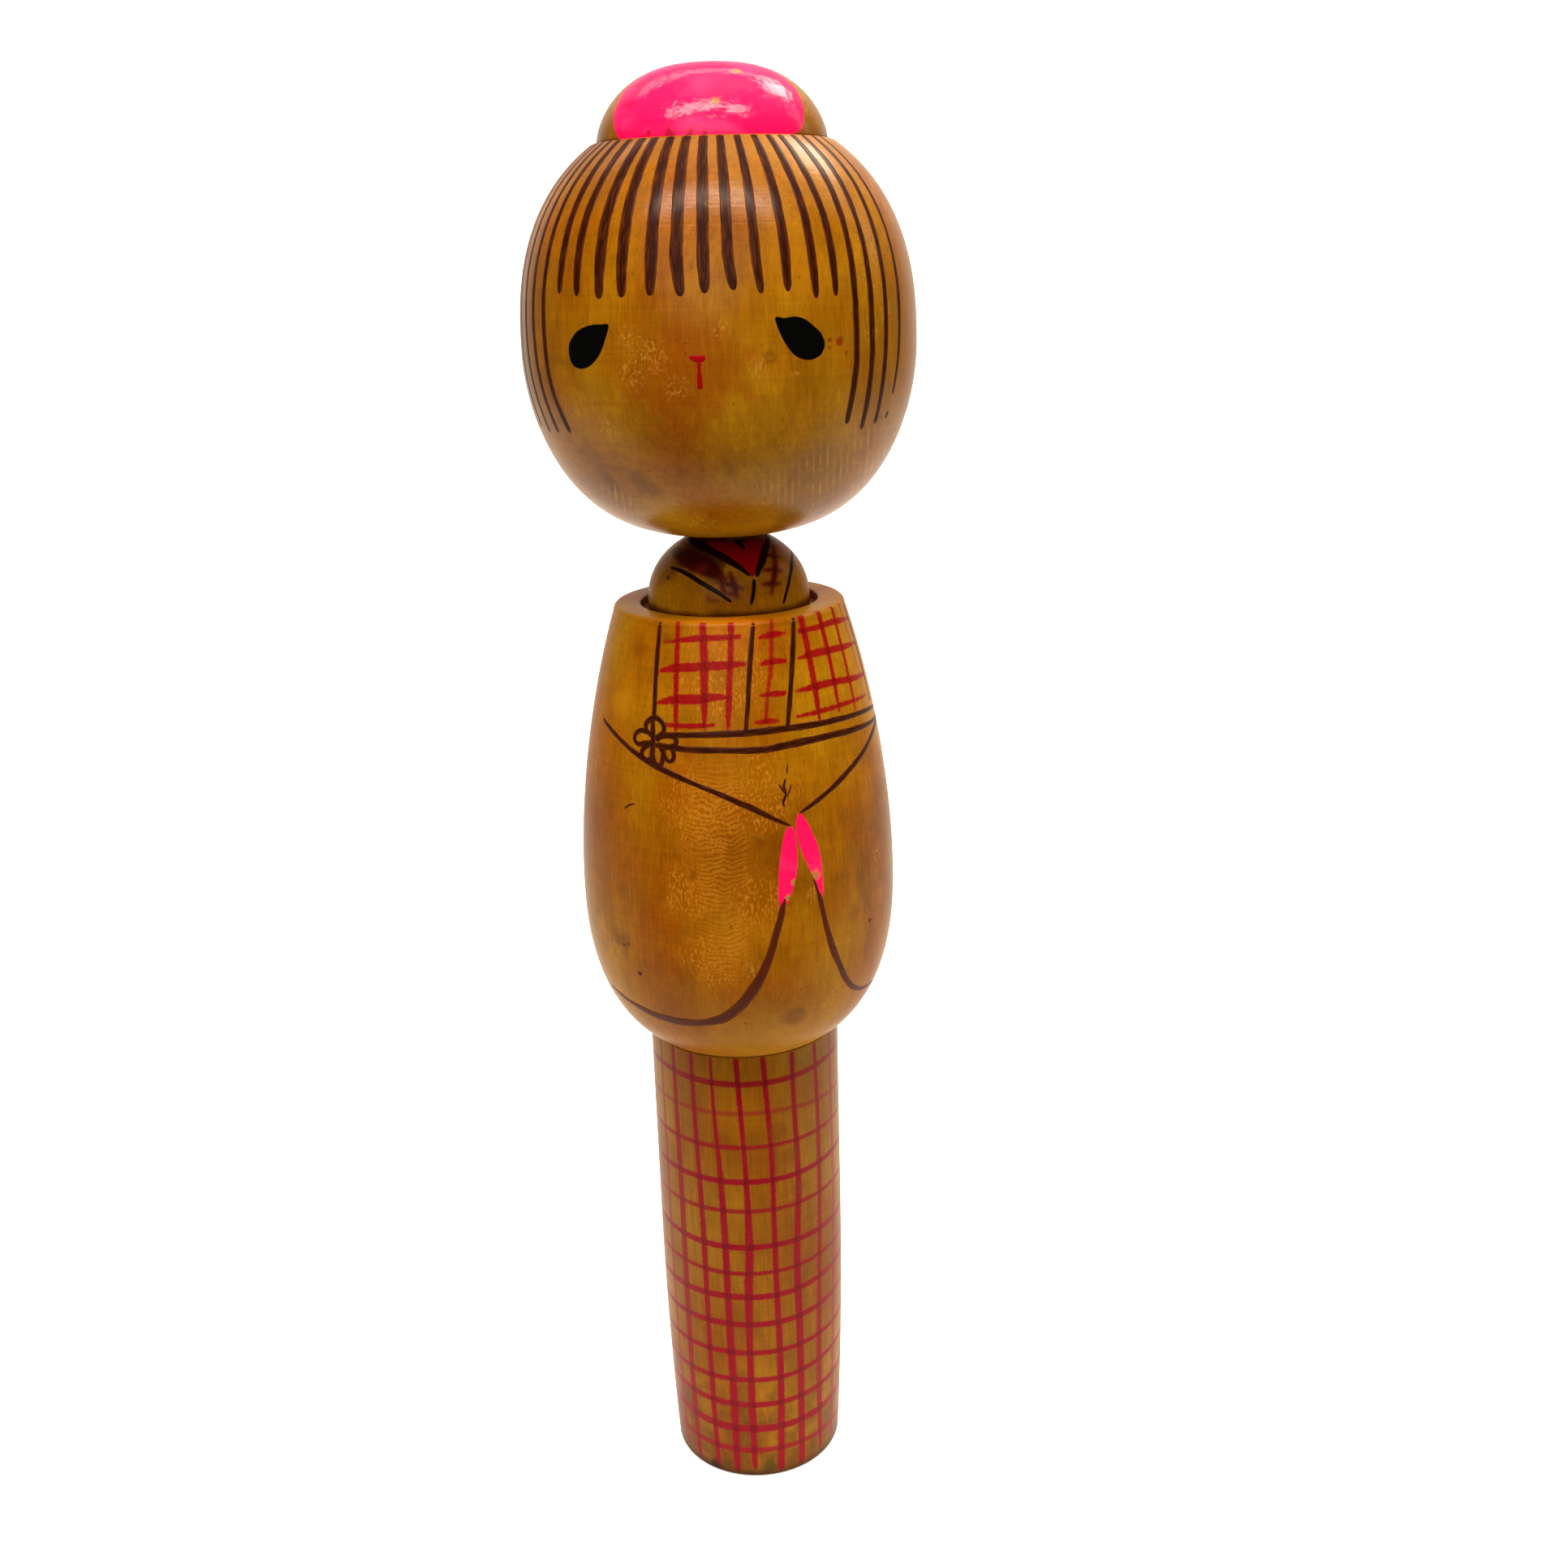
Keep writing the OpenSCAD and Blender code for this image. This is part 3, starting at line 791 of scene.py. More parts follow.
# Bow of the sash cord: its loops and the lines between them
BOW = [
    [(-33, 178.3, 0.7), (-35.9, 179.2, 0.7), (-36.7, 180.3, 0.8), (-34.8, 181.5, 0.8), (-32, 181.9, 0.8),
     (-29.4, 181.3, 0.8), (-28.1, 180, 0.8), (-29, 178.9, 0.8), (-32, 178.2, 0.7)],
    [(-32.6, 177.2, 0.8), (-36.5, 176.9, 0.8), (-39.8, 176.5, 0.7), (-41.8, 177.2, 0.7), (-41.4, 178.3, 0.7),
     (-39.2, 179.1, 0.8), (-36.2, 179.1, 0.8), (-33, 178.5, 0.7)],
    [(-31.6, 177.6, 0.8), (-29.4, 178.6, 0.9), (-26, 178.9, 0.9), (-23.2, 178.6, 0.8), (-22.8, 177.5, 0.8),
     (-25, 176.8, 0.9), (-28.6, 176.7, 0.8), (-32, 176.9, 0.8)],
    [(-33.2, 176.9, 0.7), (-36, 176.3, 0.8), (-37.6, 175.2, 0.8), (-37.0, 174.1, 0.8), (-35.2, 173.7, 0.8),
     (-33.2, 174.1, 0.9), (-32.8, 175.6, 0.9), (-32.6, 177.2, 0.7)],
    [(-32.4, 176.6, 0.8), (-32.3, 174.6, 0.8), (-31, 173.3, 0.8), (-29, 173.1, 0.8), (-28, 174.3, 0.8),
     (-28.1, 175.8, 0.8), (-29.6, 176.6, 0.8)],
    [(-28, 176.5, 0.8), (-26.9, 174.7, 0.7), (-25.4, 174.0, 0.6), (-23.9, 174.3, 0.7), (-23.4, 175.4, 0.7),
     (-24.6, 176.6, 0.8)],
    [(-33.4, 182.2, 0.6), (-33.3, 180.4, 0.8), (-32.8, 178.2, 0.9), (-32.6, 176.4, 0.8)],
]

# Tassels of the front cord, as closed spots
LEFT_TASSEL = [(19, 161.1), (17.0, 160.3), (15.2, 157.2), (14.0, 153.6), (13.4, 150), (13.2, 147), (13.9, 144.4),
               (15.6, 145.2), (17.6, 147.2), (19.3, 149.6), (20.5, 152.6), (20.9, 155.5), (20.7, 158.4), (20.2, 160.3)]
RIGHT_TASSEL = [(22.3, 163.3), (21.2, 162), (20.9, 159.8), (21.6, 157.5), (23.0, 154.8), (24.8, 152.2), (26.6, 149.6),
                (28.2, 146.8), (29.3, 144.2), (30.1, 146.5), (30.3, 150), (30, 153.2), (28.9, 156.4), (27.2, 159),
                (25.2, 161.6)]

# Dark dings and dried drops: (degrees, height, size)
JACKET_SPOTS = [(-40.2, 129.0, 1.3), (53.2, 136.6, 1.1), (-46.5, 134.6, 0.8), (-43.8, 135.2, 0.6), (34.6, 133.2, 1.2)]
JACKET_SCRATCHES = [
    [(-45.4, 163.2, 0.2), (-42.5, 164.2, 0.5), (-39, 164.9, 0.2)],
    [(18.6, 170.6, 0.3), (17.6, 169.0, 0.6), (18.0, 167.2, 0.5), (16.8, 165.8, 0.6), (17.4, 164.8, 0.3)],
    [(15.4, 169.6, 0.2), (16.6, 168.6, 0.4), (17.6, 167.4, 0.3)], [(20.6, 169.2, 0.2), (19.4, 167.8, 0.35),
     (18.4, 166.6, 0.2)],
    [(20.0, 173.2, 0.2), (19.2, 172.0, 0.35), (19.4, 171.0, 0.2)],
]

# Plaid of the skirt: columns as (strength at mid, points) and rings as (height at left, middle, right, width, strength)
SKIRT_COLUMNS = [
    (0.45, [(-77, 106, 0.8), (-76, 80, 0.9), (-75.5, 45, 1.0), (-76, 3, 1.0)]),
    (0.55, [(-62.6, 106.5, 0.8), (-61.6, 86, 0.9), (-61, 55, 1.0), (-61, 3, 1.0)]),
    (0.8, [(-49, 106.5, 0.9), (-48.2, 90, 1.2), (-47.4, 66, 1.3), (-47.6, 38, 1.3), (-47.8, 18, 1.3), (-47, 2, 1.0)]),
    (0.85, [(-34.6, 106.5, 0.7), (-33.8, 92, 0.9), (-32.4, 78, 1.0), (-31.2, 62, 1.1), (-31, 40, 1.0), (-31, 20, 1.1),
            (-30.4, 2, 0.9)]),
    (0.9, [(-21.6, 106.5, 0.5), (-20.4, 92, 0.7), (-18.4, 80, 1.0), (-17.2, 66, 1.2), (-16.6, 45, 1.2), (-16, 28, 1.4),
           (-16.4, 2, 1.1)]),
    (0.9, [(-6, 106.5, 0.9), (-4.6, 95, 0.9), (-3.2, 84, 0.9), (-2.2, 72, 1.1), (-2.3, 60, 1.4), (-3.6, 50, 1.4),
           (-4.2, 38, 1.2), (-4.2, 20, 1.3), (-4, 3, 0.9)]),
    (0.85, [(9.8, 106.5, 0.9), (11.6, 95, 0.9), (13.2, 84, 0.9), (13.5, 66, 0.9), (13.9, 50, 1.0), (14.9, 34, 1.2),
            (15, 20, 1.3), (14.2, 2, 1.2)]),
    (0.95, [(28, 106.5, 0.8), (28.6, 95, 0.9), (29.9, 84, 1.1), (30.4, 76, 1.2), (28.8, 64, 1.2), (28, 54, 1.3),
            (28.7, 42, 1.4), (29.3, 28, 1.4), (30, 2, 1.2)]),
    (0.8, [(45.2, 106.5, 0.8), (46.8, 95, 1.0), (47.5, 84, 1.1), (47, 66, 1.0), (45.6, 50, 1.0), (44.8, 34, 1.3),
           (45.2, 18, 1.3), (47.4, 3, 0.9)]),
    (0.6, [(61, 106.5, 0.8), (62.6, 90, 1.0), (63.4, 74, 1.1), (62, 54, 1.1), (61, 30, 1.2), (61.4, 3, 1.0)]),
]
SKIRT_RINGS = [
    (101.6, 101.0, 101.8, 1.0, 0.8), (94.0, 94.0, 93.0, 0.8, 0.5), (86.0, 86.0, 86.1, 0.8, 0.75),
    (77.8, 77.7, 78.2, 1.0, 0.9), (70.3, 70.5, 70.8, 0.8, 0.75), (62.0, 61.6, 61.6, 1.1, 0.85),
    (55.2, 55.0, 55.4, 0.8, 0.8), (48.4, 49.0, 49.9, 1.1, 0.85), (41.4, 41.9, 42.6, 1.1, 0.85),
    (34.0, 34.4, 34.8, 1.0, 0.85), (26.8, 27.2, 28.2, 1.0, 0.9), (20.6, 20.4, 20.8, 1.1, 0.9),
    (14.3, 13.8, 14.2, 1.4, 0.95), (7.9, 7.7, 7.2, 1.1, 0.75),
]

# Plaid of the jacket's chest: left panel, middle panel, right panel
JACKET_COLUMNS = [
    (0.85, [(-25.4, 199.8, 0.7), (-24.6, 195, 0.8), (-24.0, 189, 0.8), (-23.4, 184, 0.8), (-23.0, 180.2, 0.7)]),
    (1.0, [(-13.0, 199.8, 1.0), (-12.1, 195, 1.2), (-11.7, 189, 1.2), (-11.5, 184, 1.0), (-11.4, 180.0, 0.5)]),
    (0.9, [(0.4, 199.8, 0.9), (-0.3, 194, 0.9), (-1.2, 189, 0.9), (-1.8, 184, 0.9), (-2.2, 180.4, 0.5)]),
    (0.75, [(20.2, 199.8, 0.6), (18.6, 196, 0.7), (16.8, 191, 0.7), (14.6, 187, 0.6), (12.6, 181.4, 0.7)]),
    (1.0, [(36.0, 199.8, 1.2), (36.2, 194, 1.1), (36.3, 188, 1.1), (36.1, 183, 0.9), (36.0, 180.2, 0.5)]),
    (0.9, [(48.0, 199.8, 1.1), (48.0, 192, 0.9), (47.6, 186, 0.9), (47.2, 181, 0.7)]),
    (0.85, [(60.2, 199.7, 0.8), (59.2, 193, 0.8), (58.8, 187, 0.8), (58.4, 180, 0.6)]),
    (0.6, [(69.6, 199.6, 0.6), (70.0, 192, 0.6), (70.0, 186, 0.6), (70.0, 181, 0.5)]),
]
JACKET_BARS = [
    (1.0, [(-31.5, 196.0, 0.5), (-25, 196.5, 0.7), (-17, 197.0, 1.0), (-6, 197.2, 0.9), (3.8, 197.3, 0.8)]),
    (1.0, [(-31.6, 190.8, 0.7), (-26, 191.4, 1.2), (-14, 191.9, 1.3), (-4, 192.2, 1.3), (5.4, 192.3, 0.7)]),
    (1.0, [(-31.6, 184.8, 0.6), (-25, 185.6, 1.3), (-14, 186.0, 1.4), (-5.5, 186.4, 1.0), (-0.8, 186.3, 0.5)]),
    (0.95, [(-29, 180.9, 0.7), (-20, 180.9, 0.8), (-12, 181.1, 0.8), (-7.6, 181.3, 0.5)]),
    (0.9, [(13.6, 196.9, 0.6), (19, 197.2, 1.1), (25.4, 197.2, 0.6)]),
    (0.85, [(12.6, 192.1, 0.6), (17, 192.3, 1.0), (23.6, 192.2, 0.7)]),
    (0.85, [(11.4, 186.3, 0.5), (16, 186.4, 0.9), (21.4, 186.3, 0.8)]),
    (0.8, [(8.4, 181.4, 0.5), (12.8, 181.5, 0.9), (17.6, 181.4, 0.6)]),
    (0.95, [(33.8, 197.1, 0.8), (44, 197.1, 0.9), (56, 197.2, 1.0), (66, 196.8, 0.9), (77, 196.2, 0.6)]),
    (0.95, [(31.0, 192.3, 0.6), (38, 192.5, 1.1), (50, 192.4, 1.1), (60, 192.0, 1.0), (76, 191.4, 0.6)]),
    (1.0, [(27.0, 186.3, 0.5), (36, 186.5, 1.1), (48, 186.4, 1.1), (60, 185.7, 1.0), (76, 184.9, 0.7)]),
    (0.9, [(26.0, 181.6, 0.6), (36, 181.7, 0.8), (48, 181.8, 0.8), (60, 181.5, 0.7), (72, 181.1, 0.5)]),
]

# Dye on the shoulder dome: a wash down the left lapel, a plaid cross down the right one
DOME_WASH = [
    (0.8, [(-70, 210.8, 1.2), (-52, 210.4, 2.2), (-34, 209.7, 3.2), (-20, 208.9, 3.0), (-10, 207.8, 2.0),
           (-3, 206.6, 1.0)]),
    (1.0, [(1.5, 207.6, 0.7), (3.2, 206.0, 1.1), (4.8, 204.3, 1.0), (5.4, 203.2, 0.5)]),
    (0.9, [(-6.5, 207.6, 0.5), (-5, 206.0, 0.9), (-3.4, 204.2, 0.7)]),
    (0.5, [(-16, 203.4, 0.5), (-12, 202.8, 0.8), (-8, 202.6, 0.5)]),
    (1.0, [(58, 211.2, 0.8), (50, 210.2, 1.1), (44, 208.7, 1.2), (38, 206.7, 1.2), (33.6, 205.0, 1.0),
           (31.0, 203.4, 0.5)]),
]
DOME_BARS = [
    (1.0, [(-9, 206.2, 0.5), (-2, 205.8, 0.9), (4, 205.4, 1.0), (9, 204.8, 0.6)]),
    (0.8, [(-4, 204.2, 0.5), (2, 203.9, 0.7), (7, 203.4, 0.4)]),
    (1.0, [(35, 210.3, 0.6), (44, 209.9, 1.0), (54, 209.4, 0.6)]),
    (1.0, [(30, 207.7, 0.6), (38, 207.5, 1.0), (46, 207.2, 0.5)]),
    (1.0, [(26.4, 205.2, 0.6), (33, 205.1, 1.0), (40, 204.9, 0.5)]),
]


# ---------------------------------------------------------------- properties


# Colours of the doll and its studio, as sRGB hex
LOOK = (
    ("wood_light", "Light wood", "#a87008", "Palest lacquered wood"),
    ("wood_mid", "Wood", "#9c5e02", "Usual lacquered wood"),
    ("wood_dark", "Dark wood", "#924c00", "Redder, darker wood"),
    ("wood_fleck", "Flecks", "#ae701a", "Light flecks in the grain"),
    ("wood_bare", "Bare wood", "#b27e2c", "Pale wood where the lacquer is rubbed"),
    ("wood_grime", "Grime", "#5a3004", "Dirt in the lacquer"),
    ("ink", "Ink", "#2a0c02", "Black of the brush lines"),
    ("ink_thin", "Thin ink", "#5e2c0c", "Ink where the brush ran thin"),
    ("brown_ink", "Brown ink", "#48180a", "Browner ink of the hems"),
    ("eye", "Eyes", "#030303", "Black of the eyes"),
    ("nose", "Red", "#8c0608", "Red of the nose and the collar"),
    ("dye", "Plaid dye", "#84080c", "Red dye of the chest"),
    ("skirt_dye", "Skirt dye", "#7a0014", "Crimson dye of the skirt"),
    ("rose", "Rose", "#fb0a4c", "Fluorescent rose enamel"),
    ("rose_dark", "Dark rose", "#8c0a2c", "Dirt on the enamel"),
    ("worn_paint", "Worn paint", "#8a6636", "Rubbed enamel over wood"),
    ("rose_pale", "Pale rose", "#fd3a70", "Enamel where it is scuffed"),
    ("dowel_light", "Light dowel", "#dcc08c", "Light fibres of the dowels"),
    ("dowel_dark", "Dark dowel", "#b89458", "Dark fibres of the dowels"),
    ("floor", "Floor", "#fdfbf5", "Studio paper under the doll"),
    ("paper_dark", "Dark paper", "#5e5c52", "Studio paper by the camera"),
    ("paper_side", "Side paper", "#8e8256", "Studio paper to the right"),
)


class DollLook(bpy.types.PropertyGroup):
    """Colours of the doll and its studio."""

    __annotations__ = {
        key: bpy.props.StringProperty(name=label, default=code, description=about) for key, label, code, about in LOOK
    }


class DollSizes(bpy.types.PropertyGroup):
    """Sizes that a user may change."""

    film: bpy.props.FloatProperty(
        name="Paint film", description="Height of a brush stroke above the wood, in millimetres",
        default=0.05, min=0.02, max=0.2,
    )
    enamel_film: bpy.props.FloatProperty(
        name="Enamel film", description="Height of the enamel above the wood, in millimetres",
        default=0.12, min=0.05, max=0.3,
    )
    around: bpy.props.IntProperty(
        name="Facets round", description="Facets round each turned piece", default=384, min=96, max=512
    )
    spacing: bpy.props.FloatProperty(
        name="Row spacing", description="Distance between rows along an outline, in millimetres",
        default=0.5, min=0.3, max=3,
    )


class CameraSizes(bpy.types.PropertyGroup):
    """Where the studio camera stands."""

    distance: bpy.props.FloatProperty(
        name="Distance", description="From the doll's middle line", default=0.3321, subtype="DISTANCE", unit="LENGTH"
    )
    height: bpy.props.FloatProperty(
        name="Height", description="Above the floor", default=0.2672, subtype="DISTANCE", unit="LENGTH"
    )
    pitch: bpy.props.FloatProperty(
        name="Pitch", description="Down from the level", default=math.radians(17.88), subtype="ANGLE", unit="ROTATION"
    )
    yaw: bpy.props.FloatProperty(
        name="Yaw", description="To the right of the doll", default=math.radians(1.74), subtype="ANGLE", unit="ROTATION"
    )
    roll: bpy.props.FloatProperty(
        name="Roll", description="Turn about the view", default=math.radians(-1.57), subtype="ANGLE", unit="ROTATION"
    )
    lens: bpy.props.FloatProperty(
        name="Lens", description="Focal length in millimetres, on a 36 mm wide frame", default=38.18
    )


def look():
    return bpy.context.scene.doll_look


def sizes():
    return bpy.context.scene.doll_sizes


def material_once(name, maker, *arguments):
    """A material by name, made the first time it is asked for."""
    return bpy.data.materials.get(name) or maker(name, *arguments)


def ink():
    return material_once("black_ink_brushed", brush_paint, look().ink, look().ink_thin, 0.45, 0.27, look().wood_grime)


def collar_ink():
    return material_once("black_ink_full", brush_paint, "#160602", "#2c0804", 0.45, 0.2)


def brown_ink():
    grime = look().wood_grime
    return material_once("brown_ink_brushed", brush_paint, look().brown_ink, grime, 0.5, 0.24, grime)


def red_paint():
    return material_once("red_paint_brushed", brush_paint, look().nose, look().nose, 0.4, 0.2)


def on(outline, spots):
    """Spots of (degrees, height, ...) on a turned surface: the first two become a point in millimetres."""
    return [
        (tuple(outline.place(np.radians(degrees), outline.arc_at(height), 0.0).tolist()), *rest)
        for degrees, height, *rest in spots
    ]


# ---------------------------------------------------------------- operators


class DollHead(bpy.types.Operator):
    """Turned head, with its blind socket below and its seat for the topknot"""

    bl_idname = "kokeshi.head"
    bl_label = "Head"

    def execute(self, context):
        grime = look().wood_grime
        socket_end = top_mm("neck_peg") + SOCKET_RELIEF
        tenon_end = CROWN - KNOT_TENON_LENGTH
        side = outline_points(HEAD, HEAD_FOOT + 0.02, CROWN - 0.25, sizes().spacing)
        profile = np.concatenate([
            [[0, socket_end], [SOCKET_RADIUS, socket_end], [SOCKET_RADIUS, HEAD_FOOT]],
            side,
            round_corner(head_radius(CROWN) - 0.3, CROWN - 0.3, 0.3, 40, 90),
            [[KNOT_TENON + 1, CROWN], [KNOT_TENON, CROWN], [KNOT_TENON, tenon_end], [0, tenon_end]],
        ])
        wood = lacquered_wood(
            "lacquered_mizuki_head", look(), (22, 30, 0), (4, -3, 0), 1.3, 0.78, 0.22,
            scuffed=on(HEAD, [
                (-26, 252, 4.0), (-19, 250, 5.0), (-24, 247.5, 4.0), (1, 254.5, 2.4), (20.5, 246, 1.6),
                (-12, 245, 3.0), (10, 247, 3.0), (-35, 237, 2.6), (-36, 221, 4.0), (47, 262, 4.5), (46, 253, 3.4),
                (52, 256, 3.0), (38, 280, 5.0), (-10, 219, 4.0), (120, 240, 9.0), (200, 255, 8.0), (250, 235, 6.0),
            ]),
            ring_worn=on(HEAD, [
                (34, 228, 9.0), (46, 232, 8.0), (22, 225, 7.0), (-44, 223, 6.0), (60, 226, 8.0), (150, 232, 12.0),
            ]),
            # painted light: the tints at both sides, on the crown and low on the head stand in for the studio's
            # reflections and highlights on the lacquer, the left side darker as painted shade
            tints_and_painted_light=on(HEAD, [
                (-80, 254, 28.0, "#7c5c14", 0.5), (80, 252, 30.0, "#98781c", 0.6), (44, 284, 19.0, "#b48c3c", 0.6),
                (-50, 284, 15.0, "#84601c", 0.5), (-1, 286, 14.0, "#9c742c", 0.5), (34, 225, 16.0, "#80601a", 0.5),
                (-44, 225, 13.0, "#745212", 0.4), (-8, 248, 14.0, "#984c00", 0.5), (20, 266, 11.0, "#a87018", 0.4),
            ]),
            stains_and_shade=on(HEAD, [
                (33.5, 251.2, 0.9, "#741004", 0.8), (35.8, 249.2, 0.6, "#741004", 0.5),
                (30.6, 251.6, 0.5, grime, 0.8), (30.4, 250.3, 0.5, grime, 0.8), (-42, 227, 3.0, grime, 0.6),
                (-27, 227, 4.0, grime, 0.4), (3, 231, 3.0, grime, 0.3), (13, 249.3, 1.6, grime, 0.4),
            ]),
        )
        piece = make_piece("head_turned", [revolve(profile, sizes().around)], {}, wood, "head", 40)
        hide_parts("head")
        return {"FINISHED"}


class DollTopknot(bpy.types.Operator):
    """Turned topknot with its tenon"""

    bl_idname = "kokeshi.topknot"
    bl_label = "Topknot"

    def execute(self, context):
        tenon_end = CROWN - KNOT_TENON_LENGTH
        side = outline_points(KNOT, CROWN + 0.3, KNOT_TOP, 0.4)
        profile = np.concatenate([
            [[0, tenon_end], [KNOT_TENON, tenon_end], [KNOT_TENON, CROWN]],
            round_corner(radius_mm("topknot") - 0.3, CROWN + 0.3, 0.3, -90, 0),
            side,
            [[0, KNOT_TOP]],
        ])
        wood = lacquered_wood(
            "lacquered_mizuki_topknot", look(), (18, 34, 0), (2, 5, 0), 1.4, 0.84, 0.26,
            tints_and_painted_light=[((0.0, 0.0, 290.0), 40.0, "#7c5e20", 0.7)],
            scuffed=on(KNOT, [(62, 293, 5.0), (-62, 294, 5.0), (170, 294, 6.0)]),
        )
        piece = make_piece("topknot_turned", [revolve(profile, 256)], {}, wood, "head", 40)
        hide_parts("topknot")
        return {"FINISHED"}


class DollShoulders(bpy.types.Operator):
    """Shoulder dome with its tenon and the hole for the neck peg, dyed down the lapels"""

    bl_idname = "kokeshi.shoulders"
    bl_label = "Shoulders"

    def execute(self, context):
        grime = look().wood_grime
        bore_end = foot_mm("neck_peg")
        tenon_end = DOME_SEAT - DOME_TENON_LENGTH
        side = outline_points(DOME, DOME_SEAT + 0.2, DOME_TOP, 0.3)
        profile = np.concatenate([
            [[0, tenon_end], [DOME_TENON, tenon_end], [DOME_TENON, DOME_SEAT]],
            [[DOME.r[0] - 0.2, DOME_SEAT]],
            side,
            [[PEG_RADIUS, DOME_TOP], [PEG_RADIUS, bore_end], [0, bore_end]],
        ])
        built = revolve(profile, 320)
        wood = lacquered_wood(
            "lacquered_mizuki_shoulders", look(), (12, 24, 0), (0, 3, 0), 1.2, 0.95, 0.08, ("#5c0408", "#420206"), 0.5,
            # painted shade: the grime spots near the top of the dome at both sides and the dark red spots at its top
            # left darken it where the head shades it, the top-left one also widening the black collar line there; along
            # the joint below, dirt together with painted shade
            stains_and_shade=on(DOME, [
                (-52, 206.3, 0.6, look().ink, 0.9), (-60, 209.5, 7.0, grime, 0.5), (70, 210, 5.0, grime, 0.3),
                (-34, 211.0, 7.0, "#2c0206", 0.85), (-12, 208.6, 3.0, "#2c0206", 0.6),
            ]),
            soil_and_shade=(199.6, 1.2, "#3c0c04"),
        )
        piece = make_piece(
            "shoulders_turned", [built], dye_fields(DOME, built[0], DOME_WASH, DOME_BARS, 1.3), wood, "figure",
            40,
        )
        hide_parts("shoulder_dome")
        return {"FINISHED"}


def dye_fields(outline, points, columns, rings, load):
    """Distances to the dyed lines, for every point of a turned piece."""
    angle = np.arctan2(points[:, 0], -points[:, 1])
    arc = outline.arc_at(np.clip(points[:, 2], outline.z[0], outline.z[-1]))
    warp, warp_dye = line_distance(outline, angle, arc, columns, load)
    weft, weft_dye = line_distance(outline, angle, arc, rings, load)
    inner = np.hypot(points[:, 0], points[:, 1]) < outline.radius(arc) - 0.4
    warp[inner] = -9
    weft[inner] = -9
    return {"warp": warp, "warp_dye": warp_dye, "weft": weft, "weft_dye": weft_dye}


class DollBarrel(bpy.types.Operator):
    """Turned jacket with its rim, the recess for the shoulders and its dowel hole, dyed in plaid on the chest"""

    bl_idname = "kokeshi.barrel"
    bl_label = "Jacket barrel"

    def execute(self, context):
        grime = look().wood_grime
        dowel_end = top_mm("waist_dowel")
        tenon_end = DOME_SEAT - DOME_TENON_LENGTH
        edge = 0.4
        rim_r = float(barrel_radius(np.array(BARREL_TOP - RIM_EDGE)))
        side = outline_points(BARREL, LEG_TOP + 0.15, BARREL_TOP - RIM_EDGE, 0.52)
        profile = np.concatenate([
            [[0, dowel_end], [DOWEL_RADIUS, dowel_end], [DOWEL_RADIUS, LEG_TOP]],
            [[BARREL.r[0] - 0.15, LEG_TOP]],
            side,
            round_corner(rim_r - RIM_EDGE, BARREL_TOP - RIM_EDGE, RIM_EDGE, 8, 90, 10),
            round_corner(RECESS_RADIUS + edge, BARREL_TOP - edge, edge, 90, 180, 6),
            round_corner(RECESS_RADIUS - edge, DOME_SEAT + edge, edge, 0, -90, 6),
            [[DOME_TENON, DOME_SEAT], [DOME_TENON, tenon_end], [0, tenon_end]],
        ])
        built = revolve(profile, 420)
        wood = lacquered_wood(
            "lacquered_mizuki_jacket", look(), (7, 38, 0), (3, -2, 0), 0.95, 0.78, 0.07, (look().dye, "#6c0406"),
            ladder=(-4.0, 126, 178, 8.0),
            flecked=on(BARREL, [
                (-14, 165, 11.0), (8, 168, 10.0), (-4, 190, 12.0), (-18, 148, 8.0), (6, 146, 9.0), (-10, 134, 9.0),
                (160, 160, 14.0), (200, 140, 12.0),
            ]),
            scuffed=on(BARREL, [
                (26, 146.5, 2.0), (4, 132, 3.4), (60, 150, 3.0), (140, 128, 7.0), (250, 170, 6.0),
            ]),
            # painted light: the olive tints at both sides stand in for reflections of the studio at the edges, the pale
            # one at the bottom front for light reflected up from the floor, and the one at the rim's front lightens it
            # against the head's shadow
            tints_and_painted_light=on(BARREL, [
                (-84, 150, 29.0, "#7c5a14", 0.4), (84, 150, 27.0, "#705010", 0.5), (8, 112, 15.0, "#a07c2c", 0.55),
                (0, 202, 10.0, "#c07c14", 0.5), (4, 156, 18.0, "#6c3200", 0.55), (-20, 122, 12.0, "#90641c", 0.4),
                (-55, 180, 12.0, "#aa7208", 0.4),
            ]),
            stains_and_shade=on(BARREL, [
                (-46, 135, 3.2, grime, 0.55), (-62, 139, 2.0, grime, 0.4), (20, 119.5, 3.2, grime, 0.5),
                (-45, 194, 3.0, grime, 0.35), (-52, 184, 4.0, look().wood_light, 0.5), (-16, 152, 1.6, grime, 0.5),
                (44, 140, 2.4, grime, 0.35), (-30, 196.5, 2.0, grime, 0.5),
            ]),
        )
        piece = make_piece(
            "jacket_turned", [built], dye_fields(BARREL, built[0], JACKET_COLUMNS, JACKET_BARS, 1.34), wood, "figure",
            40,
        )
        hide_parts("jacket_barrel")
        return {"FINISHED"}


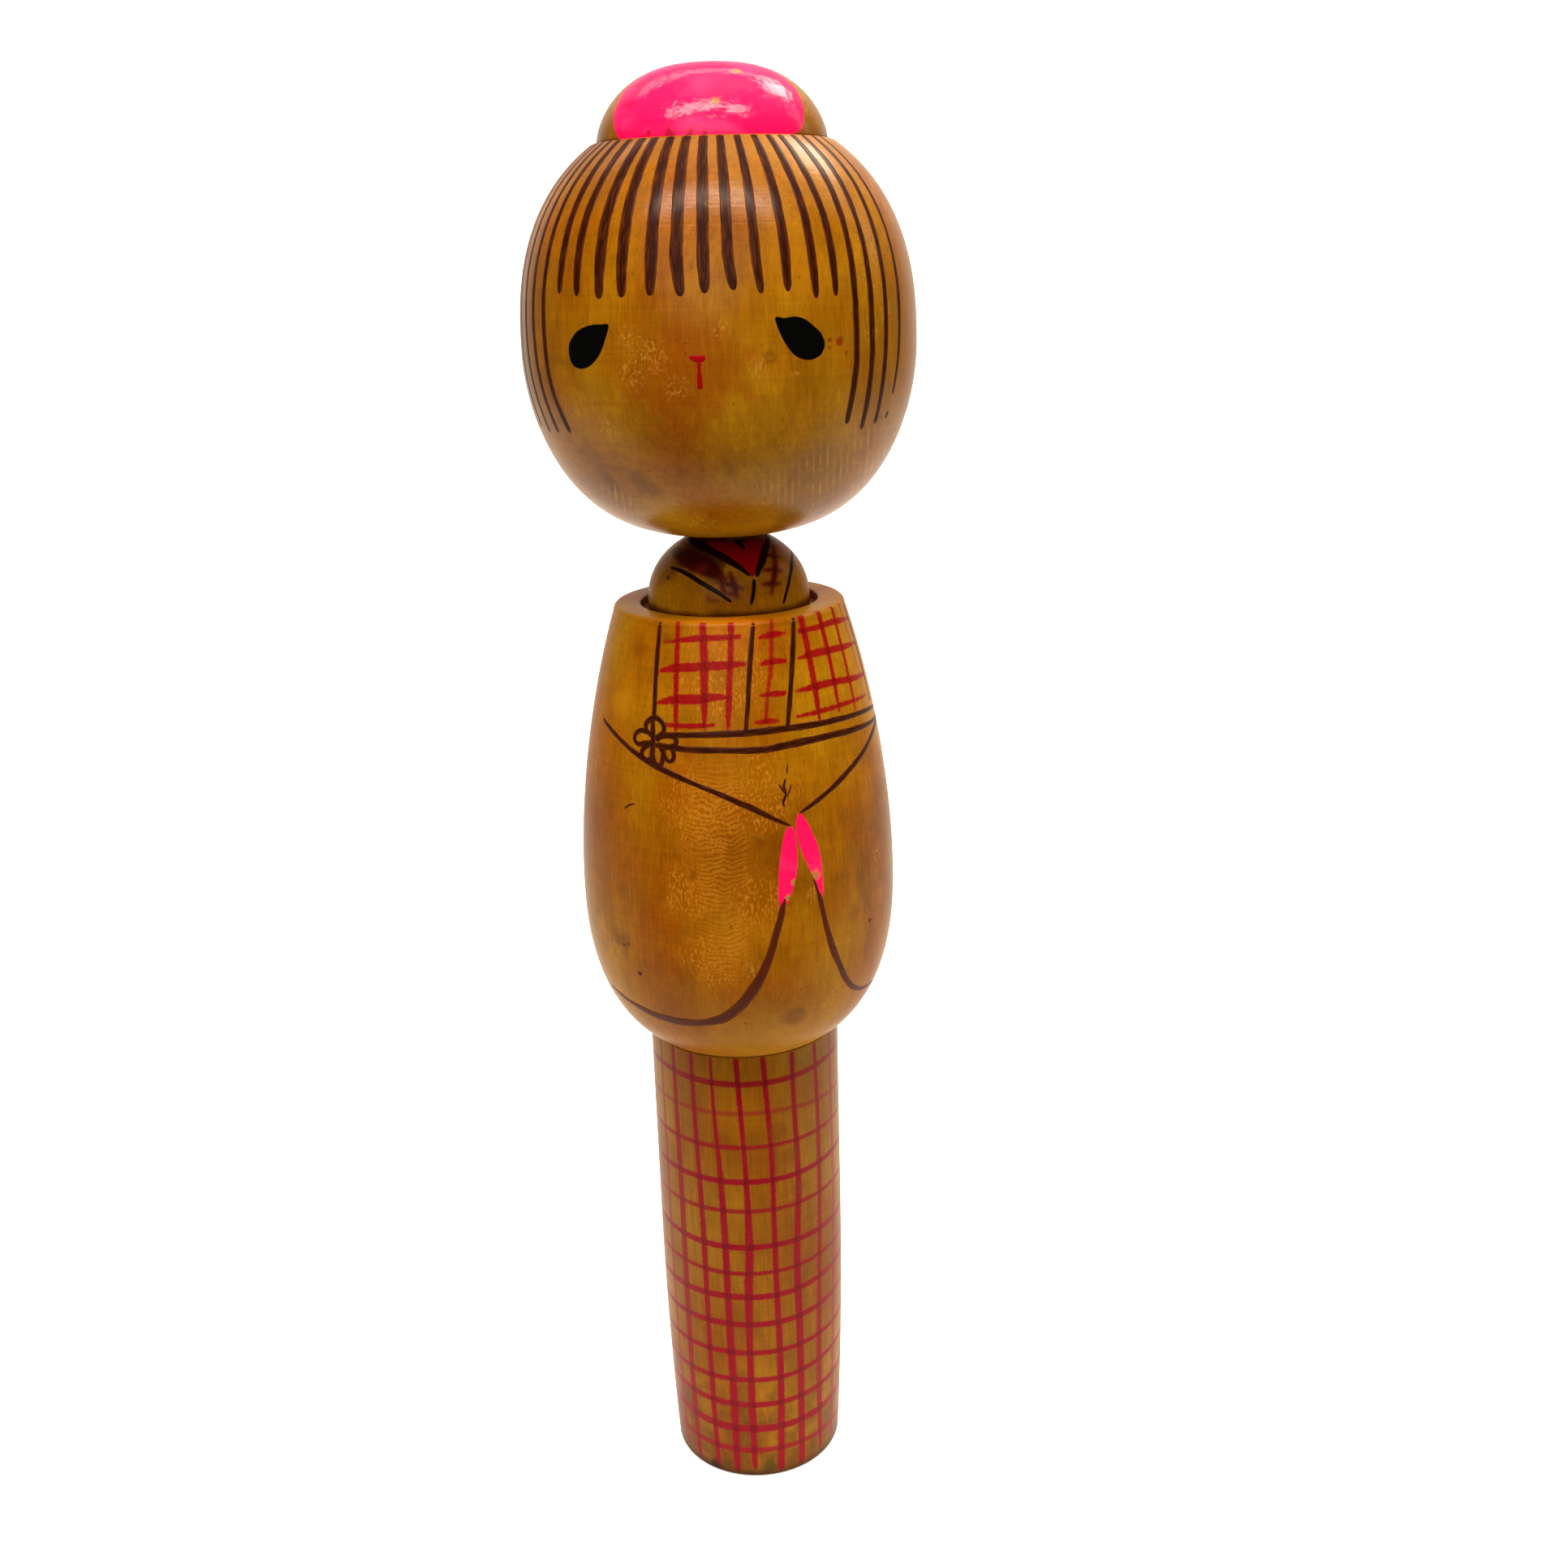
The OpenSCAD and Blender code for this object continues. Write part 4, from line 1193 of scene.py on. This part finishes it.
class DollSkirt(bpy.types.Operator):
    """Turned skirt column with its foot and its dowel hole, dyed in plaid"""

    bl_idname = "kokeshi.skirt"
    bl_label = "Skirt column"

    def execute(self, context):
        grime = look().wood_grime
        dowel_end = foot_mm("waist_dowel")
        side = outline_points(LEGS, FOOT_EDGE, LEG_TOP - 0.15, 0.5)
        profile = np.concatenate([
            [[0, 0]],
            round_corner(leg_radius(np.array(FOOT_EDGE)) - FOOT_EDGE, FOOT_EDGE, FOOT_EDGE, -90, -5, 10),
            side,
            [[LEGS.r[-1] - 0.15, LEG_TOP], [DOWEL_RADIUS, LEG_TOP], [DOWEL_RADIUS, dowel_end], [0, dowel_end]],
        ])
        built = revolve(profile, 400)
        back = [(strength * 0.9, [(180 + 16 * k, 106.5, 0.9), (181 + 16 * k, 60, 1.1), (180 + 16 * k, 3, 1.2)])
                for k, strength in zip(range(-5, 6), [0.8, 0.9] * 6)]
        rings = []
        for left, middle, right, width, strength in SKIRT_RINGS:
            back_height = 0.5 * (left + right)
            rings.append((strength, [
                (-180, back_height, width), (-120, left, width), (-60, left, width), (-20, middle, width * 1.1),
                (20, middle, width), (60, right, width), (120, right, width), (180, back_height, width)]))
        wood = lacquered_wood(
            "lacquered_mizuki_skirt", look(), (10, 26, 0), (2, 3, 0), 1.1, 0.58, 0.09, (look().skirt_dye, "#60000e"),
            scuffed=on(LEGS, [(200, 80, 9.0)]),
            stains_and_shade=on(LEGS, [
                (-34, 1, 2.6, "#140a02", 0.9), (5, 2.5, 2.4, "#3a3004", 0.7), (18, 89, 3.0, grime, 0.4),
                (26, 82, 3.4, grime, 0.35), (2, 88, 2.0, grime, 0.3), (32, 74, 2.4, grime, 0.3),
            ]),
            # the foot is darker, dirt together with painted shade, and the first broad tint makes the skirt darker
            # towards the bottom
            soil_and_shade=(0.0, 2.6, "#261204"),
            tints_and_painted_light=[((0.0, 0.0, 6.0), 32.0, "#563608", 0.65)] + on(LEGS, [
                (0, 98, 13.0, "#a8720c", 0.4), (30, 30, 12.0, "#8c6418", 0.3), (-40, 60, 12.0, "#8c6418", 0.3),
            ]),
        )
        piece = make_piece(
            "skirt_turned", [built], dye_fields(LEGS, built[0], SKIRT_COLUMNS + back, rings, 1.34), wood, "figure",
            40,
        )
        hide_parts("leg_column")
        return {"FINISHED"}


class DollHair(bpy.types.Operator):
    """Brushed hair: the fringe and the side locks"""

    bl_idname = "kokeshi.hair"
    bl_label = "Hair strokes"

    def execute(self, context):
        fringe = []
        for k, (at_crown, half_way, tip, tip_height, width) in enumerate(FRINGE):
            points = [
                (at_crown, CROWN - 0.05, 0.75 * width), (0.6 * at_crown + 0.4 * half_way, 281, 0.92 * width),
                (half_way, 272, width), (half_way, 266, 1.04 * width), (tip, tip_height, 0.75 * width)]
            fringe.append(stroke(HEAD, points, sizes().film, 11 * k, (0.3, 1.7), 0.08, 1.12))
        painted("fringe_strokes", fringe, ink(), "head")
        back = []
        for k, degrees in enumerate(range(84, 278, 8)):
            drift = 1.2 * math.sin(2.3 * k)
            points = [
                (degrees, CROWN - 0.05, 1.1), (degrees + drift, 276, 1.5), (degrees, 255, 1.6),
                (degrees - drift, 236 + drift, 1.3)]
            back.append(stroke(HEAD, points, sizes().film, 600 + 5 * k, (0.3, 1.4), 0.12))
        painted("back_hair_strokes", back, ink(), "head")
        locks = [
            stroke(HEAD, points, sizes().film, 300 + 7 * k, (0.3, 1.2), 0.12, 1.05) for k, points in enumerate(LOCKS)]
        painted("side_lock_strokes", locks, ink(), "head")
        return {"FINISHED"}


class DollFace(bpy.types.Operator):
    """Painted eyes and the red mark of nose and mouth"""

    bl_idname = "kokeshi.face"
    bl_label = "Face"

    def execute(self, context):
        black = material_once("eye_black_painted", brush_paint, look().eye, look().eye, 0.9, 0.3, None, 0.0)
        side = wrapped(HEAD)
        for name, rim, centre in (("eye_left", LEFT_EYE, (-38.8, 251.4)), ("eye_right", RIGHT_EYE, (22.6, 252.2))):
            painted(name, [patch(side, rim, centre, 0.06, 5)], black, "head")
        nose = [stroke(HEAD, NOSE_BAR, 0.05, 21, (0.6, 0.5)), stroke(HEAD, NOSE_STEM, 0.06, 23, (0.5, 0.5))]
        painted("nose_mark", nose, red_paint(), "head")
        return {"FINISHED"}


class DollEnamel(bpy.types.Operator):
    """Poured rose enamel on the topknot and the tassels"""

    bl_idname = "kokeshi.enamel"
    bl_label = "Rose enamel"

    def execute(self, context):
        knot_rose = rose_enamel(
            "rose_enamel_poured", look(), on(KNOT, [(2, 291.6, 1.3), (20, 297, 1.4)]),
            on(KNOT, [(-31, 286.8, 0.9), (-20, 286.6, 1.3), (-10, 286.6, 1.1),
             (-3, 286.6, 0.7), (-47, 292, 0.8)]),
        )
        tassel_rose = rose_enamel(
            "rose_enamel_brushed", look(), on(BARREL, [(27.4, 150.2, 1.6), (18.9, 149.8, 0.9), (16.6, 147.0, 0.9)]),
            on(BARREL, [(13.8, 144.6, 2.0), (29.4, 144.4, 2.2)]),
        )
        film = sizes().enamel_film
        cap = patch(capped(KNOT), ENAMEL, (-1, -13), film, 3, 240, 40)
        painted("topknot_enamel", [cap], knot_rose, "head")
        side = wrapped(BARREL)
        tassels = [
            patch(side, LEFT_TASSEL, (17.3, 154), 0.07, 4, 120, 12),
            patch(side, RIGHT_TASSEL, (25.2, 156.5), 0.07, 6, 120, 12),
        ]
        painted("tassels", tassels, tassel_rose, "figure")
        return {"FINISHED"}


class DollJacketLines(bpy.types.Operator):
    """Brushed black lines of the collar, the lapels, the sash, its bow and the hems"""

    bl_idname = "kokeshi.lines"
    bl_label = "Jacket lines"

    def execute(self, context):
        film = sizes().film
        red = patch(wrapped(DOME), COLLAR_RED, (16, 211.2), 0.04, 9, 120, 12)
        painted("collar_red", [red], red_paint(), "figure")
        groups = [
            ("collar_lines", DOME, COLLAR_BLACK, (0.8, 0.8), 1.35), ("lapel_lines", BARREL, LAPELS, (0.3, 0.3), 1.4),
            ("sash_lines", BARREL, SASH, (0.4, 3.0), 1.35), ("front_edge_lines", BARREL, FRONT_EDGES, (2.0, 2.0), 1.45),
            ("hem_lines", BARREL, HEMS, (1.5, 5.0), 1.35), ("sash_bow", BARREL, BOW, (0.4, 0.4), 1.45),
        ]
        for number, (name, outline, lines, blunt, load) in enumerate(groups):
            lifted = film + 0.004 * number
            strokes = [
                stroke(outline, points, lifted, 1000 * (number + 1) + 13 * k, blunt, 0.12, load)
                for k, points in enumerate(lines)]
            paint = {"hem_lines": brown_ink, "collar_lines": collar_ink}.get(name, ink)()
            painted(name, strokes, paint, "figure")
        side = wrapped(BARREL)
        marks = [stroke(BARREL, points, 0.03, 70 + k, (0.8, 0.8), 0.3) for k, points in enumerate(JACKET_SCRATCHES)]
        for k, (degrees, height, size) in enumerate(JACKET_SPOTS):
            turn = np.radians(np.arange(0, 360, 45))
            wobble = 0.5 * size * (1 + 0.3 * np.sin(3 * turn + k))
            rim = np.stack([degrees + wobble * np.cos(turn) * 1.9, height + 0.7 * wobble * np.sin(turn)], axis=-1)
            marks.append(patch(side, rim, (degrees, height), 0.03, 80 + k, 32, 5))
        painted("jacket_dings", marks, ink(), "figure")
        return {"FINISHED"}


class DollPegs(bpy.types.Operator):
    """Bare wood for the hidden peg and dowel"""

    bl_idname = "kokeshi.pegs"
    bl_label = "Pegs"

    def execute(self, context):
        wood = bare_dowel("beech_dowel_plain", look())
        for node in ("neck_peg", "waist_dowel"):
            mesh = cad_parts[node].data
            mesh.materials.clear()
            mesh.materials.append(wood)
        return {"FINISHED"}


class DollStudio(bpy.types.Operator):
    """Pale floor that curves up all round, soft lights and the camera"""

    bl_idname = "kokeshi.studio"
    bl_label = "Studio"

    def execute(self, context):
        scene = context.scene
        floor_radius, cove, wall = 1500.0, 500.0, 1900.0
        profile = np.concatenate([
            [[0, 0], [200, 0], [600, 0], [1100, 0]],
            round_corner(floor_radius, cove, cove, -90, 0, 24),
            [[floor_radius + cove, wall], [floor_radius + cove + 20, wall]],
            round_corner(floor_radius, cove, cove + 20, 0, -90, 24),
            [[0, -20]],
        ])
        paint = studio_paint("studio_paint_matt", look())
        points, quads, triangles = revolve(profile, 128)
        points[:, 2] -= 0.01
        mesh = bpy.data.meshes.new("studio_floor")
        mesh.from_pydata((points * MM).tolist(), [], quads.tolist() + triangles.tolist())
        mesh.polygons.foreach_set("use_smooth", np.ones(len(mesh.polygons), bool))
        mesh.materials.append(paint)
        floor = bpy.data.objects.new("studio_floor", mesh)
        scene.collection.objects.link(floor)

        world = bpy.data.worlds.new("studio_air")
        scene.world = world
        world.use_nodes = True
        background = world.node_tree.nodes["Background"]
        background.inputs["Color"].default_value = (1.0, 0.95, 0.85, 1.0)
        background.inputs["Strength"].default_value = 0.35

        lamps = [
            # name, place, aim, size across and deep, watts
            ("ceiling_strip", (-0.02, -0.42, 1.05), (0, 0, 0.27), (1.0, 0.15), 17.0),
            ("rear_strip", (0.5, 0.43, 1.0), (0, 0, 0.27), (0.34, 0.26), 7.5),
            ("right_strip", (0.95, 0.35, 0.8), (0, 0, 0.27), (0.09, 0.6), 1.2),
            ("rear_long", (-0.05, 0.5, 1.0), (0, 0, 0.27), (1.1, 0.08), 2.8),
            ("overhead", (0.05, 0.1, 1.5), (0, 0, 0.27), (0.8, 0.8), 3.6),
            ("front_fill", (-0.3, -1.7, 1.0), (0, 0, 0.18), (2.2, 1.2), 16.0),
        ]
        for name, place, aim, size, watts in lamps:
            lamp = bpy.data.lights.new(name, "AREA")
            lamp.shape = "RECTANGLE"
            lamp.size, lamp.size_y = size
            lamp.energy = watts
            lamp.color = (1.0, 0.93, 0.8) if name != "front_fill" else (1.0, 1.0, 1.0)
            holder = bpy.data.objects.new(name, lamp)
            holder.location = place
            holder.rotation_euler = (Vector(aim) - Vector(place)).to_track_quat("-Z", "Y").to_euler()
            scene.collection.objects.link(holder)

        sizes_of_camera = scene.doll_camera
        lens = bpy.data.cameras.new("studio_camera")
        lens.sensor_width = 36.0
        lens.lens = sizes_of_camera.lens
        lens.clip_start = 0.01
        camera = bpy.data.objects.new("studio_camera", lens)
        turned = (
            Matrix.Rotation(-sizes_of_camera.yaw, 4, "Z")
            @ Matrix.Rotation(math.pi / 2 - sizes_of_camera.pitch, 4, "X")
            @ Matrix.Rotation(sizes_of_camera.roll, 4, "Z")
        )
        camera.matrix_world = Matrix.Translation((0, -sizes_of_camera.distance, sizes_of_camera.height)) @ turned
        scene.collection.objects.link(camera)
        scene.camera = camera
        scene.view_settings.view_transform = "Standard"
        return {"FINISHED"}


class DollPanel(bpy.types.Panel):
    """Buttons for each group of pieces"""

    bl_idname = "VIEW3D_PT_kokeshi"
    bl_label = "Kokeshi doll"
    bl_space_type = "VIEW_3D"
    bl_region_type = "UI"
    bl_category = "Kokeshi"

    def draw(self, context):
        for operator in OPERATORS:
            self.layout.operator(operator.bl_idname)


OPERATORS = (
    DollStudio, DollHead, DollTopknot, DollShoulders, DollBarrel, DollSkirt, DollHair, DollFace, DollEnamel,
    DollJacketLines, DollPegs,
)
CLASSES = (DollLook, DollSizes, CameraSizes) + OPERATORS + (DollPanel,)


def register():
    for each in CLASSES:
        bpy.utils.register_class(each)
    bpy.types.Scene.doll_look = bpy.props.PointerProperty(type=DollLook)
    bpy.types.Scene.doll_sizes = bpy.props.PointerProperty(type=DollSizes)
    bpy.types.Scene.doll_camera = bpy.props.PointerProperty(type=CameraSizes)


def unregister():
    for name in ("doll_look", "doll_sizes", "doll_camera"):
        delattr(bpy.types.Scene, name)
    for each in reversed(CLASSES):
        bpy.utils.unregister_class(each)


def main():
    """Registers the classes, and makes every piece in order."""
    register()
    for operator in OPERATORS:
        group, name = operator.bl_idname.split(".")
        getattr(getattr(bpy.ops, group), name)()


if __name__ == "__main__":
    main()
